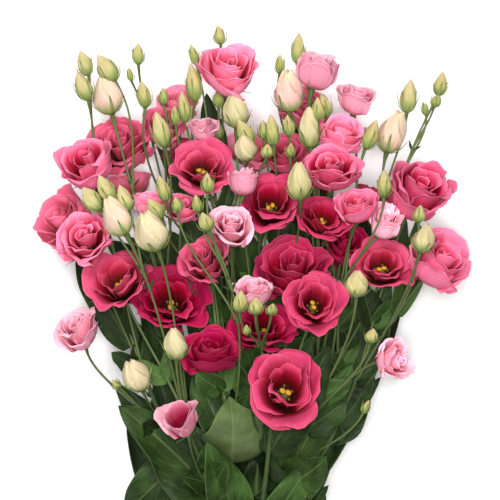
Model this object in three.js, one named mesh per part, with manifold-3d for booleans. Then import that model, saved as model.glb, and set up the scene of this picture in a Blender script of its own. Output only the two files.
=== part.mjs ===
// A cut bunch of pink lisianthus (Eustoma): ten branching leafy stems, held by one rubber band and lying on a
// flat surface. Millimetres. +X is to the right, +Y runs from the cut ends to the flower heads, +Z is up.
// Every bloom is a solid of its own. Each stem is one solid with its branches, leaves and closed buds, because
// they grew as one piece. The origin is under the middle of the bunch, on the surface that it lies on.
import * as THREE from "three";
import { mergeVertices } from "three/addons/utils/BufferGeometryUtils.js";
import Module from "manifold-3d";

const wasm = await Module();
wasm.setup();

// ---- driving dimensions ----------------------------------------------------------------------------------
const BAND = { inner: 12.3, wall: 1.8, width: 9, sides: 12 };
const BAND_AXIS = BAND.inner + BAND.wall; // the height of its axis, as it lies on one of its flats
const STEM = { foot: 2.5, crown: 1.9, sides: 5, steps: 5, reach: 0.35 }; // radii at the cut end and at the crown
const STALK = { start: 1.5, end: 1.15, sides: 4, steps: 3, reach: 0.3 }; // reach is that of the curve's handles
const BUD = { small: 16, sides: 5, steps: 2 }; // up to the small width it has the stalk's few sides
const SEAM = 0.3; // slivers thinner than this are smoothed out where grown pieces join
const TAIL = { length: 168, spread: 0.75, rise: 0.18 }; // the stems below the band, and how far they open there
const GAP = 1.0; // between a stalk's tip and the bloom that it carries
const LEAF = { thickness: 0.9, rows: 4, seat: 0.2, trough: 0.18 }; // seat: its narrowest width, as a share
const GOLDEN = 137.508; // degrees, the turn from one bloom or leaf to the next

const PINK = { deep: 0xc2185b, mid: 0xe8467f, light: 0xf28fb0 };
const GREEN = 0x55783c;
const RUBBER = 0xd8c9a0;
const ROUGHNESS = { petals: 0.6, greens: 0.65, rubber: 0.7 };

// ---- the ten stems ---------------------------------------------------------------------------------------
// slot: distance and angle in the band. crown: where the main stem ends in its branches.
// blooms: name, form, tone, x, y, z of the middle of its mouth, radius, heading, pitch, fork [, bow x, bow z].
// buds: x, y, z of the middle, width, length, heading, pitch, fork [, bow x, bow z].
// heading is the way that it points, in degrees from +Y towards +X. pitch is how far it looks up.
// fork is the share of the main stem where its stalk leaves, or [which, share] on an earlier bloom's or bud's.
// leaves: fork, x, y, z of the tip, width, arch, tilt about its midrib.
const STEMS = {
  stem_01: {
    slot: [9, 180],
    crown: [-95, 240, 90],
    blooms: [
      ["bloom_01", "rose", "mid", -150, 443, 130, 27, -20, 40, 1],
      ["bloom_02", "open", "deep", -175, 390, 100, 29, -50, 35, 0.96],
      ["bloom_03", "rose", "mid", -149, 374, 150, 26, -15, 55, 0.92, 0, -14],
      ["bloom_04", "rose", "light", -158, 293, 110, 23, -25, 35, 0.82, -14, 0],
    ],
    buds: [
      [-151, 528, 110, 15, 24, -20, 5, [0, 0.7], -10, 2],
      [-151, 507, 120, 16, 28, -18, 5, [0, 0.6], -6, -14],
      [-103, 248, 135, 27, 31, -20, 25, 0.8, 0, -8],
      [-122, 240, 122, 8, 10, -45, 20, 0.72],
    ],
    leaves: [
      [[2, 0.35], -160, 352, 72, 36, 0, 0],
      [0.7, -118, 112, 42, 44, 22, 0],
      [0.35, -88, 150, 30, 38, 8, 0],
    ],
  },
  stem_02: {
    slot: [3.2, 160],
    crown: [-62, 215, 120],
    blooms: [
      ["bloom_05", "open", "deep", -120, 337, 140, 31, -15, 50, 1],
      ["bloom_06", "open", "deep", -74, 317, 120, 34, -10, 58, 0.96],
      ["bloom_07", "trumpet", "light", -66, 217, 165, 19, -25, 40, 0.6, -8, -6],
      ["bloom_48", "single", "mid", -61, 400, 114, 15, 10, 45, 0.88],
    ],
    buds: [
      [-120, 389, 178, 25, 37, -30, 10, 0.92],
      [-142, 405, 165, 17, 26, -35, 10, [4, 0.75]],
      [-130, 414, 160, 16, 28, -30, 10, [4, 0.7]],
      [-114, 405, 170, 16, 26, -25, 10, [4, 0.8]],
      [-89, 376, 178, 30, 38, -20, 20, 0.88],
      [-67, 277, 162, 23, 30, 0, 20, 0.85],
    ],
    leaves: [
      [0.62, -118, 221, 112, 57, 10, 15],
      [0.42, -78, 168, 82, 36, 4, 0],
    ],
  },
  stem_03: {
    slot: [9, 231],
    crown: [-60, 250, 60],
    blooms: [
      ["bloom_08", "open", "deep", -121, 459, 80, 31, -15, 50, 1],
      ["bloom_09", "open", "deep", -80, 475, 92, 21, 0, 50, 0.96],
      ["bloom_10", "rose", "mid", -92, 407, 122, 17, 0, 20, 0.92],
      ["bloom_11", "single", "deep", -118, 420, 21, 24, -35, -20, 0.9],
      ["bloom_12", "single", "mid", -95, 345, 22, 24, -40, -20, 0.85],
    ],
    buds: [
      [-131, 500, 108, 27, 38, -15, 10, [2, 0.5], 0, 12],
      [-130, 524, 112, 18, 29, -28, 5, [5, 0.6], 6, 0],
      [-103, 537, 100, 11, 20, -3, 0, [1, 0.6], 0, -26],
      [-110, 519, 98, 6, 13, -10, 0, [7, 0.5], 6, -10],
      [-97, 500, 114, 13, 25, -5, 5, [1, 0.65], -10, 14],
      [-80, 498, 122, 9, 16, -5, 5, [1, 0.7], 6, 8],
      [-81, 467, 150, 17, 34, -12, 10, [2, 0.5], 4, -8],
    ],
    leaves: [
      [0.8, -106, 322, 40, 48, 0, 0],
      [0.5, -75, 190, 26, 38, 4, 0],
    ],
  },
  stem_04: {
    slot: [9.4, 129],
    crown: [-25, 230, 116],
    blooms: [
      ["bloom_13", "rose", "deep", -36, 274, 140, 25, 0, 45, 1],
      ["bloom_14", "rose", "deep", -44, 355, 145, 24, -20, 45, 0.96, 0, -8],
      ["bloom_15", "rose", "light", -18, 384, 177, 21, 5, 48, 0.92, 6, -18],
      ["bloom_16", "open", "deep", -45, 435, 156, 27, 0, 60, 0.88],
    ],
    buds: [
      [-41, 385, 188, 14, 18, -15, 10, 0.84, 20, 14],
      [-39, 419, 186, 11, 18, 0, 5, [4, 0.7], -4, 4],
      [-48, 401, 180, 9, 16, -5, 5, [4, 0.75]],
      [-66, 400, 176, 9, 14, -5, 5, [4, 0.55]],
      [-79, 415, 160, 12, 25, -15, 5, [3, 0.6], -4, -16],
      [-86, 396, 165, 14, 22, -40, 5, [3, 0.5], -16, -18],
    ],
    leaves: [
      [0.7, -22, 236, 150, 52, 8, 0],
      [0.45, -42, 188, 118, 44, 14, 0],
    ],
  },
  stem_05: {
    slot: [9, 283],
    crown: [-15, 260, 60],
    blooms: [
      ["bloom_17", "tight", "light", -44, 472, 135, 15, -10, 20, 1],
      ["bloom_18", "single", "deep", -68, 497, 62, 18, 0, 45, 0.96, 0, 8],
      ["bloom_19", "rose", "mid", -20, 527, 132, 28, 10, 42, 0.92],
      ["bloom_20", "single", "deep", -62, 452, 22, 24, -15, -20, 0.9],
      ["bloom_21", "single", "mid", -4, 458, 22, 24, 0, -20, 0.88, -12, 12],
    ],
    buds: [
      [-52, 535, 125, 9, 20, -15, 5, [0, 0.6]],
      [-29, 554, 105, 11, 18, -5, 5, [2, 0.7]],
      [-52, 510, 132, 14, 36, -5, 5, [0, 0.7], -12, -20],
      [-61, 488, 128, 13, 29, -8, 5, [0, 0.6]],
      [-69, 480, 135, 9, 18, -5, 5, [0, 0.55]],
      [-30, 497, 105, 10, 18, 0, 5, [2, 0.6]],
      [-30, 468, 120, 8, 16, 0, 5, [2, 0.55]],
    ],
    leaves: [
      [0.6, -38, 240, 26, 40, 3, 0],
      [0.85, -22, 352, 52, 50, 4, 0],
    ],
  },
  stem_06: {
    slot: [9, 77],
    crown: [18, 215, 135],
    blooms: [
      ["bloom_22", "open", "deep", 30, 240, 175, 35, 5, 65, 1],
      ["bloom_23", "rose", "light", 1, 328, 172, 19, -5, 25, 0.96],
      ["bloom_24", "open", "deep", 9, 293, 125, 29, 0, 52, 0.92],
      ["bloom_25", "rose", "deep", 37, 348, 128, 33, 0, 45, 0.88],
      ["bloom_26", "open", "deep", 55, 316, 171, 28, 10, 62, 0.84],
    ],
    buds: [
      [-11, 315, 190, 13, 20, 0, 10, [1, 0.6]],
      [3, 311, 192, 13, 16, 0, 10, [1, 0.65]],
      [17, 308, 188, 9, 11, 5, 10, [1, 0.6]],
      [-5, 290, 182, 6, 9, -10, 10, [5, 0.6]],
      [41, 420, 175, 22, 34, -5, 15, [1, 0.4]],
    ],
    leaves: [
      [0.82, 70, 276, 140, 44, 6, 0],
      [0.4, 62, 172, 118, 44, 14, 0],
    ],
  },
  stem_07: {
    slot: [3.2, 270],
    crown: [10, 270, 95],
    blooms: [
      ["bloom_27", "open", "deep", 17, 405, 148, 30, 5, 55, 1, -4, -4],
      ["bloom_28", "single", "deep", 4, 450, 72, 18, 0, 45, 0.96],
      ["bloom_29", "tight", "light", -8, 423, 158, 13, 0, 10, 0.92, -20, -16],
      ["bloom_30", "single", "deep", 30, 450, 95, 21, 0, 45, 0.88],
      ["bloom_31", "single", "mid", 8, 395, 24, 28, 0, -25, 0.9],
    ],
    buds: [
      [-14, 484, 140, 23, 32, 0, 10, 0.84],
      [-6, 465, 152, 14, 27, -25, 5, [2, 0.6], -20, -8],
      [-6, 451, 160, 20, 29, -10, 40, [2, 0.6], -10, -14],
      [10, 467, 138, 10, 18, -5, 5, [3, 0.6]],
      [18, 467, 145, 13, 29, -5, 5, [3, 0.6]],
      [13, 448, 150, 11, 13, 0, 5, [3, 0.5], -24, -24],
    ],
    leaves: [
      [0.45, 24, 200, 62, 44, 6, 0],
      [0.75, 44, 338, 62, 44, 0, 0],
    ],
  },
  stem_08: {
    slot: [3.2, 30],
    crown: [55, 225, 118],
    blooms: [
      ["bloom_32", "open", "deep", 64, 392, 140, 25, 10, 45, 1, 24, -24],
      ["bloom_33", "single", "deep", 84, 369, 102, 20, 10, 50, 0.96],
      ["bloom_34", "open", "deep", 117, 349, 125, 28, 5, 55, 0.92],
      ["bloom_35", "rose", "light", 131, 263, 135, 20, 80, 35, 0.85],
    ],
    buds: [
      [92, 330, 158, 22, 25, 0, 15, 0.88],
      [106, 284, 148, 12, 14, 10, 10, 0.9],
      [102, 220, 130, 7, 13, 25, 5, 0.7],
    ],
    leaves: [
      [0.7, 92, 252, 128, 42, 6, 0],
      [0.45, 78, 190, 84, 38, 6, 0],
      [0.3, 70, 146, 74, 34, 6, 0],
    ],
  },
  stem_09: {
    slot: [9, 334],
    crown: [60, 255, 58],
    blooms: [
      ["bloom_36", "single", "deep", 48, 491, 80, 22, 5, 50, 1],
      ["bloom_37", "tight", "light", 59, 524, 120, 18, 15, 20, 0.96, 4, 4],
      ["bloom_38", "rose", "mid", 81, 467, 120, 21, 10, 40, 0.92],
      ["bloom_39", "tight", "light", 94, 501, 115, 19, 10, 20, 0.88, 25, -45],
      ["bloom_40", "rose", "mid", 70, 437, 153, 27, 0, 45, 0.84, -6, -18],
      ["bloom_41", "single", "deep", 58, 450, 22, 24, 15, -20, 0.9],
      ["bloom_42", "single", "mid", 88, 350, 22, 24, 40, -20, 0.85],
    ],
    buds: [
      [25, 528, 100, 9, 18, 0, 5, [0, 0.7], -8, 0],
      [42, 542, 105, 12, 29, 5, 5, [1, 0.7], 18, 0],
      [33, 502, 122, 28, 38, 0, 10, [0, 0.6], 20, -8],
      [33, 471, 135, 11, 20, 0, 5, [0, 0.6], 6, 6],
      [34, 449, 142, 8, 13, 0, 5, [0, 0.55]],
      [51, 470, 125, 20, 38, -5, 10, [4, 0.5]],
      [59, 486, 130, 12, 22, 0, 5, [4, 0.5]],
      [66, 491, 102, 11, 23, -10, 5, [2, 0.6], -18, -20],
    ],
    leaves: [
      [0.8, 92, 330, 40, 46, 0, 0],
      [0.45, 70, 190, 24, 38, 4, 0],
    ],
  },
  stem_10: {
    slot: [9, 26],
    crown: [95, 245, 92],
    blooms: [
      ["bloom_43", "rose", "mid", 152, 420, 134, 33, 25, 40, 1],
      ["bloom_44", "rose", "mid", 171, 354, 128, 29, 40, 40, 0.96],
      ["bloom_46", "rose", "mid", 93, 403, 155, 20, -5, 40, 0.88, -22, -2],
      ["bloom_45", "tight", "light", 120, 388, 142, 16, 15, 45, [2, 0.5], -14, 29],
      ["bloom_47", "single", "deep", 115, 410, 21, 24, 30, -20, 0.9],
    ],
    buds: [
      [107, 463, 125, 14, 29, 25, 5, [2, 0.5], 6, 8],
      [126, 466, 112, 27, 40, 15, 10, [0, 0.5]],
      [141, 499, 105, 16, 32, 5, 5, [6, 0.6]],
      [171, 510, 100, 12, 23, 15, 5, [0, 0.5], -16, 0],
      [166, 495, 100, 9, 13, 15, 5, [8, 0.7]],
      [156, 488, 100, 6, 13, -10, 5, [8, 0.6]],
      [118, 419, 155, 13, 25, 5, 5, [2, 0.6], 2, 28],
      [148, 392, 160, 11, 16, 5, 5, [1, 0.5], 6, 8],
      [152, 370, 160, 21, 26, 15, 10, [1, 0.4]],
    ],
    leaves: [
      [0.97, 126, 332, 82, 40, 2, 0],
      [0.8, 112, 246, 75, 24, 4, 0],
    ],
  },
};

// ---- bloom forms -----------------------------------------------------------------------------------------
// Each form is one closed skin of rings, from the base outside, over the rim of each cup of petals, to the middle.
// ring: radius and height as shares of the bloom's radius, then on a rim how deep the gap between two petals is
// cut in, how far it is cut down, and 1 where the petals stand in the gaps of the cup outside them.
// foot and heart are the heights of the two ends on the axis.
const FORMS = {
  open: {
    foot: -0.8,
    heart: -0.28,
    rings: [
      [0.34, -0.7],
      [0.8, -0.22],
      [1.02, 0.12, 0.2, 0.22, 0],
      [0.62, -0.2],
      [0.74, 0.16, 0.22, 0.22, 1],
      [0.22, -0.48],
    ],
  },
  rose: {
    foot: -1.0,
    heart: 0.1,
    rings: [
      [0.42, -0.86],
      [0.88, -0.35],
      [1.0, 0.08, 0.16, 0.24, 0],
      [0.7, -0.14],
      [0.72, 0.24, 0.18, 0.2, 1],
      [0.44, 0.0],
      [0.4, 0.34, 0.2, 0.16, 0],
    ],
  },
  single: {
    foot: -0.8,
    heart: -0.25,
    rings: [
      [0.36, -0.7],
      [0.82, -0.24],
      [1.02, 0.12, 0.2, 0.22, 0],
      [0.34, -0.42],
    ],
  },
  tight: {
    foot: -1.15,
    heart: 0.6,
    rings: [
      [0.5, -0.95],
      [0.96, -0.3],
      [0.84, 0.5, 0.14, 0.25, 0],
      [0.5, 0.2],
    ],
  },
  trumpet: {
    foot: -1.5,
    heart: -0.6,
    rings: [
      [0.4, -1.2],
      [0.72, -0.5],
      [1.04, 0.12, 0.16, 0.22, 0],
      [0.46, -0.5],
    ],
  },
};
const PETALS = 5; // in each cup
const FINE_RADIUS = 30; // blooms from this radius have three points to a petal, smaller ones two

// ---- shape helpers ---------------------------------------------------------------------------------------
const vec = (x, y, z) => new THREE.Vector3(x, y, z);
const rad = THREE.MathUtils.degToRad;

// The direction that a bloom or bud points in.
function aim(heading, pitch) {
  const h = rad(heading);
  const p = rad(pitch);
  return vec(Math.sin(h) * Math.cos(p), Math.cos(h) * Math.cos(p), Math.sin(p));
}

// A closed skin over rings of points, with one point at each end: ends[0], then the rings, then ends[1].
function skin(rings, ends) {
  const n = rings[0].length;
  const points = [ends[0], ...rings.flat(), ends[1]];
  const last = points.length - 1;
  const faces = [];
  for (let j = 0; j < n; j++) {
    const k = (j + 1) % n;
    faces.push(0, 1 + k, 1 + j);
    for (let i = 0; i + 1 < rings.length; i++) {
      const low = 1 + i * n;
      const high = low + n;
      faces.push(low + j, low + k, high + k, low + j, high + k, high + j);
    }
    faces.push(last, last - n + j, last - n + k);
  }
  const geometry = new THREE.BufferGeometry();
  geometry.setAttribute("position", new THREE.Float32BufferAttribute(points.flatMap((p) => p.toArray()), 3));
  geometry.setIndex(faces);
  return geometry;
}

// A ring of points round p, square to along.
function ringAt(p, along, r, sides) {
  const across = vec(0, 0, 1).cross(along).normalize();
  const up = along.clone().cross(across);
  return Array.from({ length: sides }, (_, j) => {
    const a = (2 * Math.PI * (j + 0.5)) / sides;
    return p.clone().addScaledVector(across, r * Math.cos(a)).addScaledVector(up, r * Math.sin(a));
  });
}

// The rings of a round stalk along a row of points, thinning from r0 to r1.
function stalkRings(points, r0, r1, sides) {
  const last = points.length - 1;
  return points.map((p, i) => {
    const along = points[Math.min(i + 1, last)].clone().sub(points[Math.max(i - 1, 0)]).normalize();
    return ringAt(p, along, r0 + (r1 - r0) * (i / last), sides);
  });
}

// A bloom in its own frame: mouth at the origin, facing +Z.
function bloomGeometry(form, radius) {
  const { foot, heart, rings } = FORMS[form];
  const points = radius >= FINE_RADIUS ? 3 : 2;
  const around = rings.map(([r, z, inward = 0, down = 0, stagger = 0]) =>
    Array.from({ length: PETALS * points }, (_, j) => {
      const gap = (j + stagger) % points === 0 ? 1 : 0;
      const a = (2 * Math.PI * j) / (PETALS * points);
      const reach = radius * r * (1 - inward * gap);
      return vec(reach * Math.cos(a), reach * Math.sin(a), radius * (z - down * gap));
    }),
  );
  return skin(around, [vec(0, 0, radius * foot), vec(0, 0, radius * heart)]);
}

// The rings of a closed bud along axis, a pointed egg that its stalk widens into.
const BUD_RINGS = [
  [1.04, 0.24],
  [0.98, 0.6],
];
function budRings(foot, axis, width, length, sides) {
  return BUD_RINGS.map(([r, h]) => {
    const middle = foot.clone().addScaledVector(axis, h * length);
    return ringAt(middle, axis, (r * width) / 2, sides);
  });
}

// A leaf: one closed blade, trough-shaped about its midrib, from its seat on the stem to its tip.
function leafGeometry(seat, tip, width, arch, tilt) {
  const middle = seat.clone().add(tip).multiplyScalar(0.5).add(vec(0, 0, arch));
  const line = new THREE.QuadraticBezierCurve3(seat, middle, tip);
  const half = LEAF.thickness / 2;
  const rings = [];
  for (let i = 0; i < LEAF.rows; i++) {
    const v = i / LEAF.rows;
    const p = line.getPoint(v);
    const along = line.getTangent(v);
    const across = vec(0, 0, 1).cross(along).normalize().applyAxisAngle(along, rad(tilt));
    const up = along.clone().cross(across);
    const w = (width / 2) * (LEAF.seat + (1 - LEAF.seat) * Math.sin(Math.PI * (0.06 + 0.94 * v ** 0.85)) ** 0.8);
    const rise = LEAF.trough * w;
    const at = (s, lift) => p.clone().addScaledVector(across, s * w).addScaledVector(up, lift);
    const under = [at(-1, rise - half), at(0, -half), at(1, rise - half)];
    rings.push([...under, at(1, rise + half), at(0, half), at(-1, rise + half)]);
  }
  return skin(rings, [seat, tip]);
}

// ---- solids ----------------------------------------------------------------------------------------------
function solid(geometry) {
  const bare = geometry.clone();
  bare.deleteAttribute("normal");
  bare.deleteAttribute("uv");
  const merged = mergeVertices(bare, 1e-4);
  return new wasm.Manifold(
    new wasm.Mesh({
      numProp: 3,
      vertProperties: new Float32Array(merged.attributes.position.array),
      triVerts: new Uint32Array(merged.index.array),
    }),
  );
}

function geometryOf(manifold) {
  const mesh = manifold.getMesh();
  const geometry = new THREE.BufferGeometry();
  geometry.setAttribute("position", new THREE.BufferAttribute(new Float32Array(mesh.vertProperties), 3));
  geometry.setIndex(new THREE.BufferAttribute(new Uint32Array(mesh.triVerts), 1));
  return geometry;
}

// The outer body of a solid: a loose scrap is dropped, and a hollow that joining has sealed in is filled.
function largest(manifold) {
  return manifold.decompose().sort((a, b) => b.volume() - a.volume())[0];
}

function part(name, manifold, color, roughness) {
  const geometry = geometryOf(manifold);
  geometry.computeVertexNormals();
  const mesh = new THREE.Mesh(geometry, new THREE.MeshStandardMaterial({ color, roughness, metalness: 0 }));
  mesh.name = name;
  return mesh;
}

// ---- one stem and what it carries ------------------------------------------------------------------------
// The main stem is a Bezier curve from the band, where the stems run side by side, out to its crown.
function mainStem({ slot, crown }) {
  const [distance, angle] = slot;
  const start = vec(distance * Math.cos(rad(angle)), 0, BAND_AXIS + distance * Math.sin(rad(angle)));
  const end = vec(...crown);
  const reach = STEM.reach * start.distanceTo(end);
  const out = end.clone().sub(start).normalize();
  const curve = new THREE.CubicBezierCurve3(
    start,
    start.clone().add(vec(0, reach, 0)),
    end.clone().addScaledVector(out, -reach),
    end,
  );
  const foot = vec(
    start.x * (1 + TAIL.spread),
    -TAIL.length,
    BAND_AXIS + (start.z - BAND_AXIS) * (1 + TAIL.rise),
  );
  return { curve, foot };
}

// The point at a share of a row of points that a stem or stalk is drawn through.
function pointAlong(points, share) {
  const at = share * (points.length - 1);
  const i = Math.min(Math.floor(at), points.length - 2);
  return points[i].clone().lerp(points[i + 1], at - i);
}

// A stalk leaves its fork along the stem that it grew from, and arrives along the axis of what it carries.
function stalkCurve(parent, share, end, axis, bowX = 0, bowZ = 0) {
  const start = pointAlong(parent.points, share);
  const toward = end.clone().sub(start).normalize();
  const reach = STALK.reach * start.distanceTo(end);
  const leave = parent.curve.getTangent(share).add(toward).normalize();
  const bow = vec(bowX, 0, bowZ);
  return new THREE.CubicBezierCurve3(
    start,
    start.clone().addScaledVector(leave, reach).add(bow),
    end.clone().addScaledVector(axis, -reach).add(bow),
    end,
  );
}

function growStem(name, data, group) {
  const main = mainStem(data);
  main.points = main.curve.getPoints(STEM.steps);
  const line = [main.foot, main.foot.clone().lerp(main.points[0], 0.5), ...main.points];
  const pieces = [skin(stalkRings(line, STEM.foot, STEM.crown, STEM.sides), [line[0], line.at(-1)])];
  const stalks = [];
  const from = (fork) => (Array.isArray(fork) ? [stalks[fork[0]], fork[1]] : [main, fork]);
  const grow = (fork, end, axis, bow, sides, steps) => {
    const curve = stalkCurve(...from(fork), end, axis, ...bow);
    const points = curve.getPoints(steps);
    stalks.push({ curve, points });
    return stalkRings(points, STALK.start, STALK.end, sides);
  };
  data.blooms.forEach(([id, form, tone, x, y, z, radius, heading, pitch, fork, ...bow]) => {
    const axis = aim(heading, pitch);
    const foot = vec(x, y, z).addScaledVector(axis, radius * FORMS[form].foot - GAP);
    const rings = grow(fork, foot, axis, bow, STALK.sides, STALK.steps);
    pieces.push(skin(rings, [stalks.at(-1).points[0], foot]));
    const turn = new THREE.Quaternion().setFromUnitVectors(vec(0, 0, 1), axis);
    turn.multiply(new THREE.Quaternion().setFromAxisAngle(vec(0, 0, 1), rad(GOLDEN * Number(id.slice(-2)))));
    const placed = bloomGeometry(form, radius).applyQuaternion(turn).translate(x, y, z);
    const cut = largest(solid(placed).trimByPlane([0, 0, 1], 0));
    group.add(part(id, cut, PINK[tone], ROUGHNESS.petals));
  });
  data.buds.forEach(([x, y, z, width, length, heading, pitch, fork, ...bow]) => {
    const axis = aim(heading, pitch);
    const foot = vec(x, y, z).addScaledVector(axis, -length / 2);
    const sides = width > BUD.small ? BUD.sides : STALK.sides;
    const rings = [...grow(fork, foot, axis, bow, sides, BUD.steps), ...budRings(foot, axis, width, length, sides)];
    pieces.push(skin(rings, [stalks.at(-1).points[0], foot.clone().addScaledVector(axis, length)]));
  });
  data.leaves.forEach(([fork, x, y, z, width, arch, tilt]) => {
    const [parent, share] = from(fork);
    pieces.push(leafGeometry(pointAlong(parent.points, share), vec(x, y, z), width, arch, tilt));
  });
  const whole = wasm.Manifold.union(pieces.map(solid)).simplify(SEAM);
  group.add(part(name, largest(whole), GREEN, ROUGHNESS.greens));
}

// ---- the band that holds the stems -----------------------------------------------------------------------
function bandGeometry() {
  const { inner, wall, width, sides } = BAND;
  const profile = [
    [inner, -width / 2],
    [inner + wall, -width / 2],
    [inner + wall, width / 2],
    [inner, width / 2],
    [inner, -width / 2],
  ].map(([r, y]) => new THREE.Vector2(r / Math.cos(Math.PI / sides), y));
  return new THREE.LatheGeometry(profile, sides, Math.PI / sides).translate(0, 0, BAND_AXIS);
}

// ---- the bunch -------------------------------------------------------------------------------------------
const bunch = new THREE.Group();
Object.entries(STEMS).forEach(([name, data]) => growStem(name, data, bunch));
bunch.add(part("band", solid(bandGeometry()), RUBBER, ROUGHNESS.rubber));

const box = new THREE.Box3().setFromObject(bunch);
bunch.position.set(-(box.min.x + box.max.x) / 2, -(box.min.y + box.max.y) / 2, -box.min.z);

export default bunch;
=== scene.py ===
"""A cut bunch of pink lisianthus (Eustoma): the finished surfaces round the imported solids.

Ten branching stems lie on a flat surface, held by one wound rubber band. Every bloom, the buds, the leaves
and the stalks of each stem are closed surfaces worked out on grids of points. The tables are in millimetres,
measured from the point of the surface under the middle of the band: +X to the right, +Y towards the flower
heads, +Z up.
"""

import bpy
import numpy as np
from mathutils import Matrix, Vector


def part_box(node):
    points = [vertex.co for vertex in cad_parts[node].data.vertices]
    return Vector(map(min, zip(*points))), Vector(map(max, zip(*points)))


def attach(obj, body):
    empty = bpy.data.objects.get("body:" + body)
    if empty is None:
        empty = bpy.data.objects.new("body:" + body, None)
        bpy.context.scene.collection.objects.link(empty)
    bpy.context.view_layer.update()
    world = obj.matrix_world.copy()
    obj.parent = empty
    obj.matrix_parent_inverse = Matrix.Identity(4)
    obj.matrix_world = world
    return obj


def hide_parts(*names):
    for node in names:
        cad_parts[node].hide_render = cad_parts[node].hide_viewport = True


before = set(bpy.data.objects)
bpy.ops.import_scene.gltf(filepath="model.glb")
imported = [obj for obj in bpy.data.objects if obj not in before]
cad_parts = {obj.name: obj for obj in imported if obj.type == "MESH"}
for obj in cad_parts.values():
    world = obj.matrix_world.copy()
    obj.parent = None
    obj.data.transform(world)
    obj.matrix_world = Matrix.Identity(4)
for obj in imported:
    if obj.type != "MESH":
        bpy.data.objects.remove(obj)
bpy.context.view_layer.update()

# ---- driving dimensions, in millimetres ------------------------------------------------------------------
MM = 0.001
BAND = {"inner": 12.3, "wall": 1.8, "width": 9.0, "strand": 2.3, "turns": 3}
BAND_GRID = {"points": 200, "sides": 12}
BAND_CROSSING = 0.92  # the share of its way after which the strand crosses back over its turns
BAND_AXIS = BAND["inner"] + BAND["wall"]  # the height of the band's axis
STEM = {"foot": 2.5, "crown": 1.9, "reach": 0.35}
STALK = {"end": 0.85, "reach": 0.3}
STALKS_OF = {  # how thick a stalk starts, its points along and round, its tint and the length of its bracts
    "bloom": {"start": 1.4, "points": 22, "sides": 10, "tint": 0.4, "bracts": (10, 16)},
    "bud": {"start": 1.15, "points": 16, "sides": 8, "tint": 0.6, "bracts": (6, 11)},
}
TAIL = {"length": 168, "spread": 0.75, "rise": 0.18}  # the stems below the band
# The thicker places on a stem: shares of its length, and how far they stand out.
KNOTS = {"first": 0.12, "apart": 0.11, "width": 0.008, "height": 0.35}
STEM_GRID = {"tail": 16, "main": 40, "sides": 14}  # points along, below and above the band, and round
PETAL_THICK = 0.45
SEPAL_THICK = 0.35
SEPALS = 5
SEPAL_GRID = (8, 3)  # points along and across, as in the next two tables
BUD_GRIDS = {"large": (22, 60), "small": (15, 40)}
LEAF_GRIDS = {"large": (24, 15), "paired": (16, 11), "bract": (9, 5)}
LARGE_BUD = 18  # buds wider than this have opened a little at the tip
LEAF_THICK = 0.5
PAIR_LENGTHS = {"stem": (56, 84), "stalk": (32, 50)}
PAIR_ROOM = ((-188, -100, 4), (188, 540, 180))  # the tips of paired leaves stay in this box
PAINTED_SHADE_HEIGHT = 120  # leaves lower than this get painted shade, darker the lower they lie
FIRST_SEED = 100
FLOOR_GAP = 0.3  # nothing goes lower than this over the surface
GOLDEN = 137.508  # degrees, the turn from one bloom or inner petal to the next
PISTIL = {  # half sizes and thicknesses, as shares of the bloom's radius
    "ovary": (0.13, 0.13, 0.2),
    "lobe": (0.095, 0.075, 0.05),
    "anther": (0.035, 0.035, 0.07),
    "style": 0.035,
    "filament": 0.012,
    "anthers": 5,
}

band_low, band_high = (np.array(corner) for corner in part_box("band"))
ORIGIN = np.array([*((band_low + band_high)[:2] / 2), band_low[2]])

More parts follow.
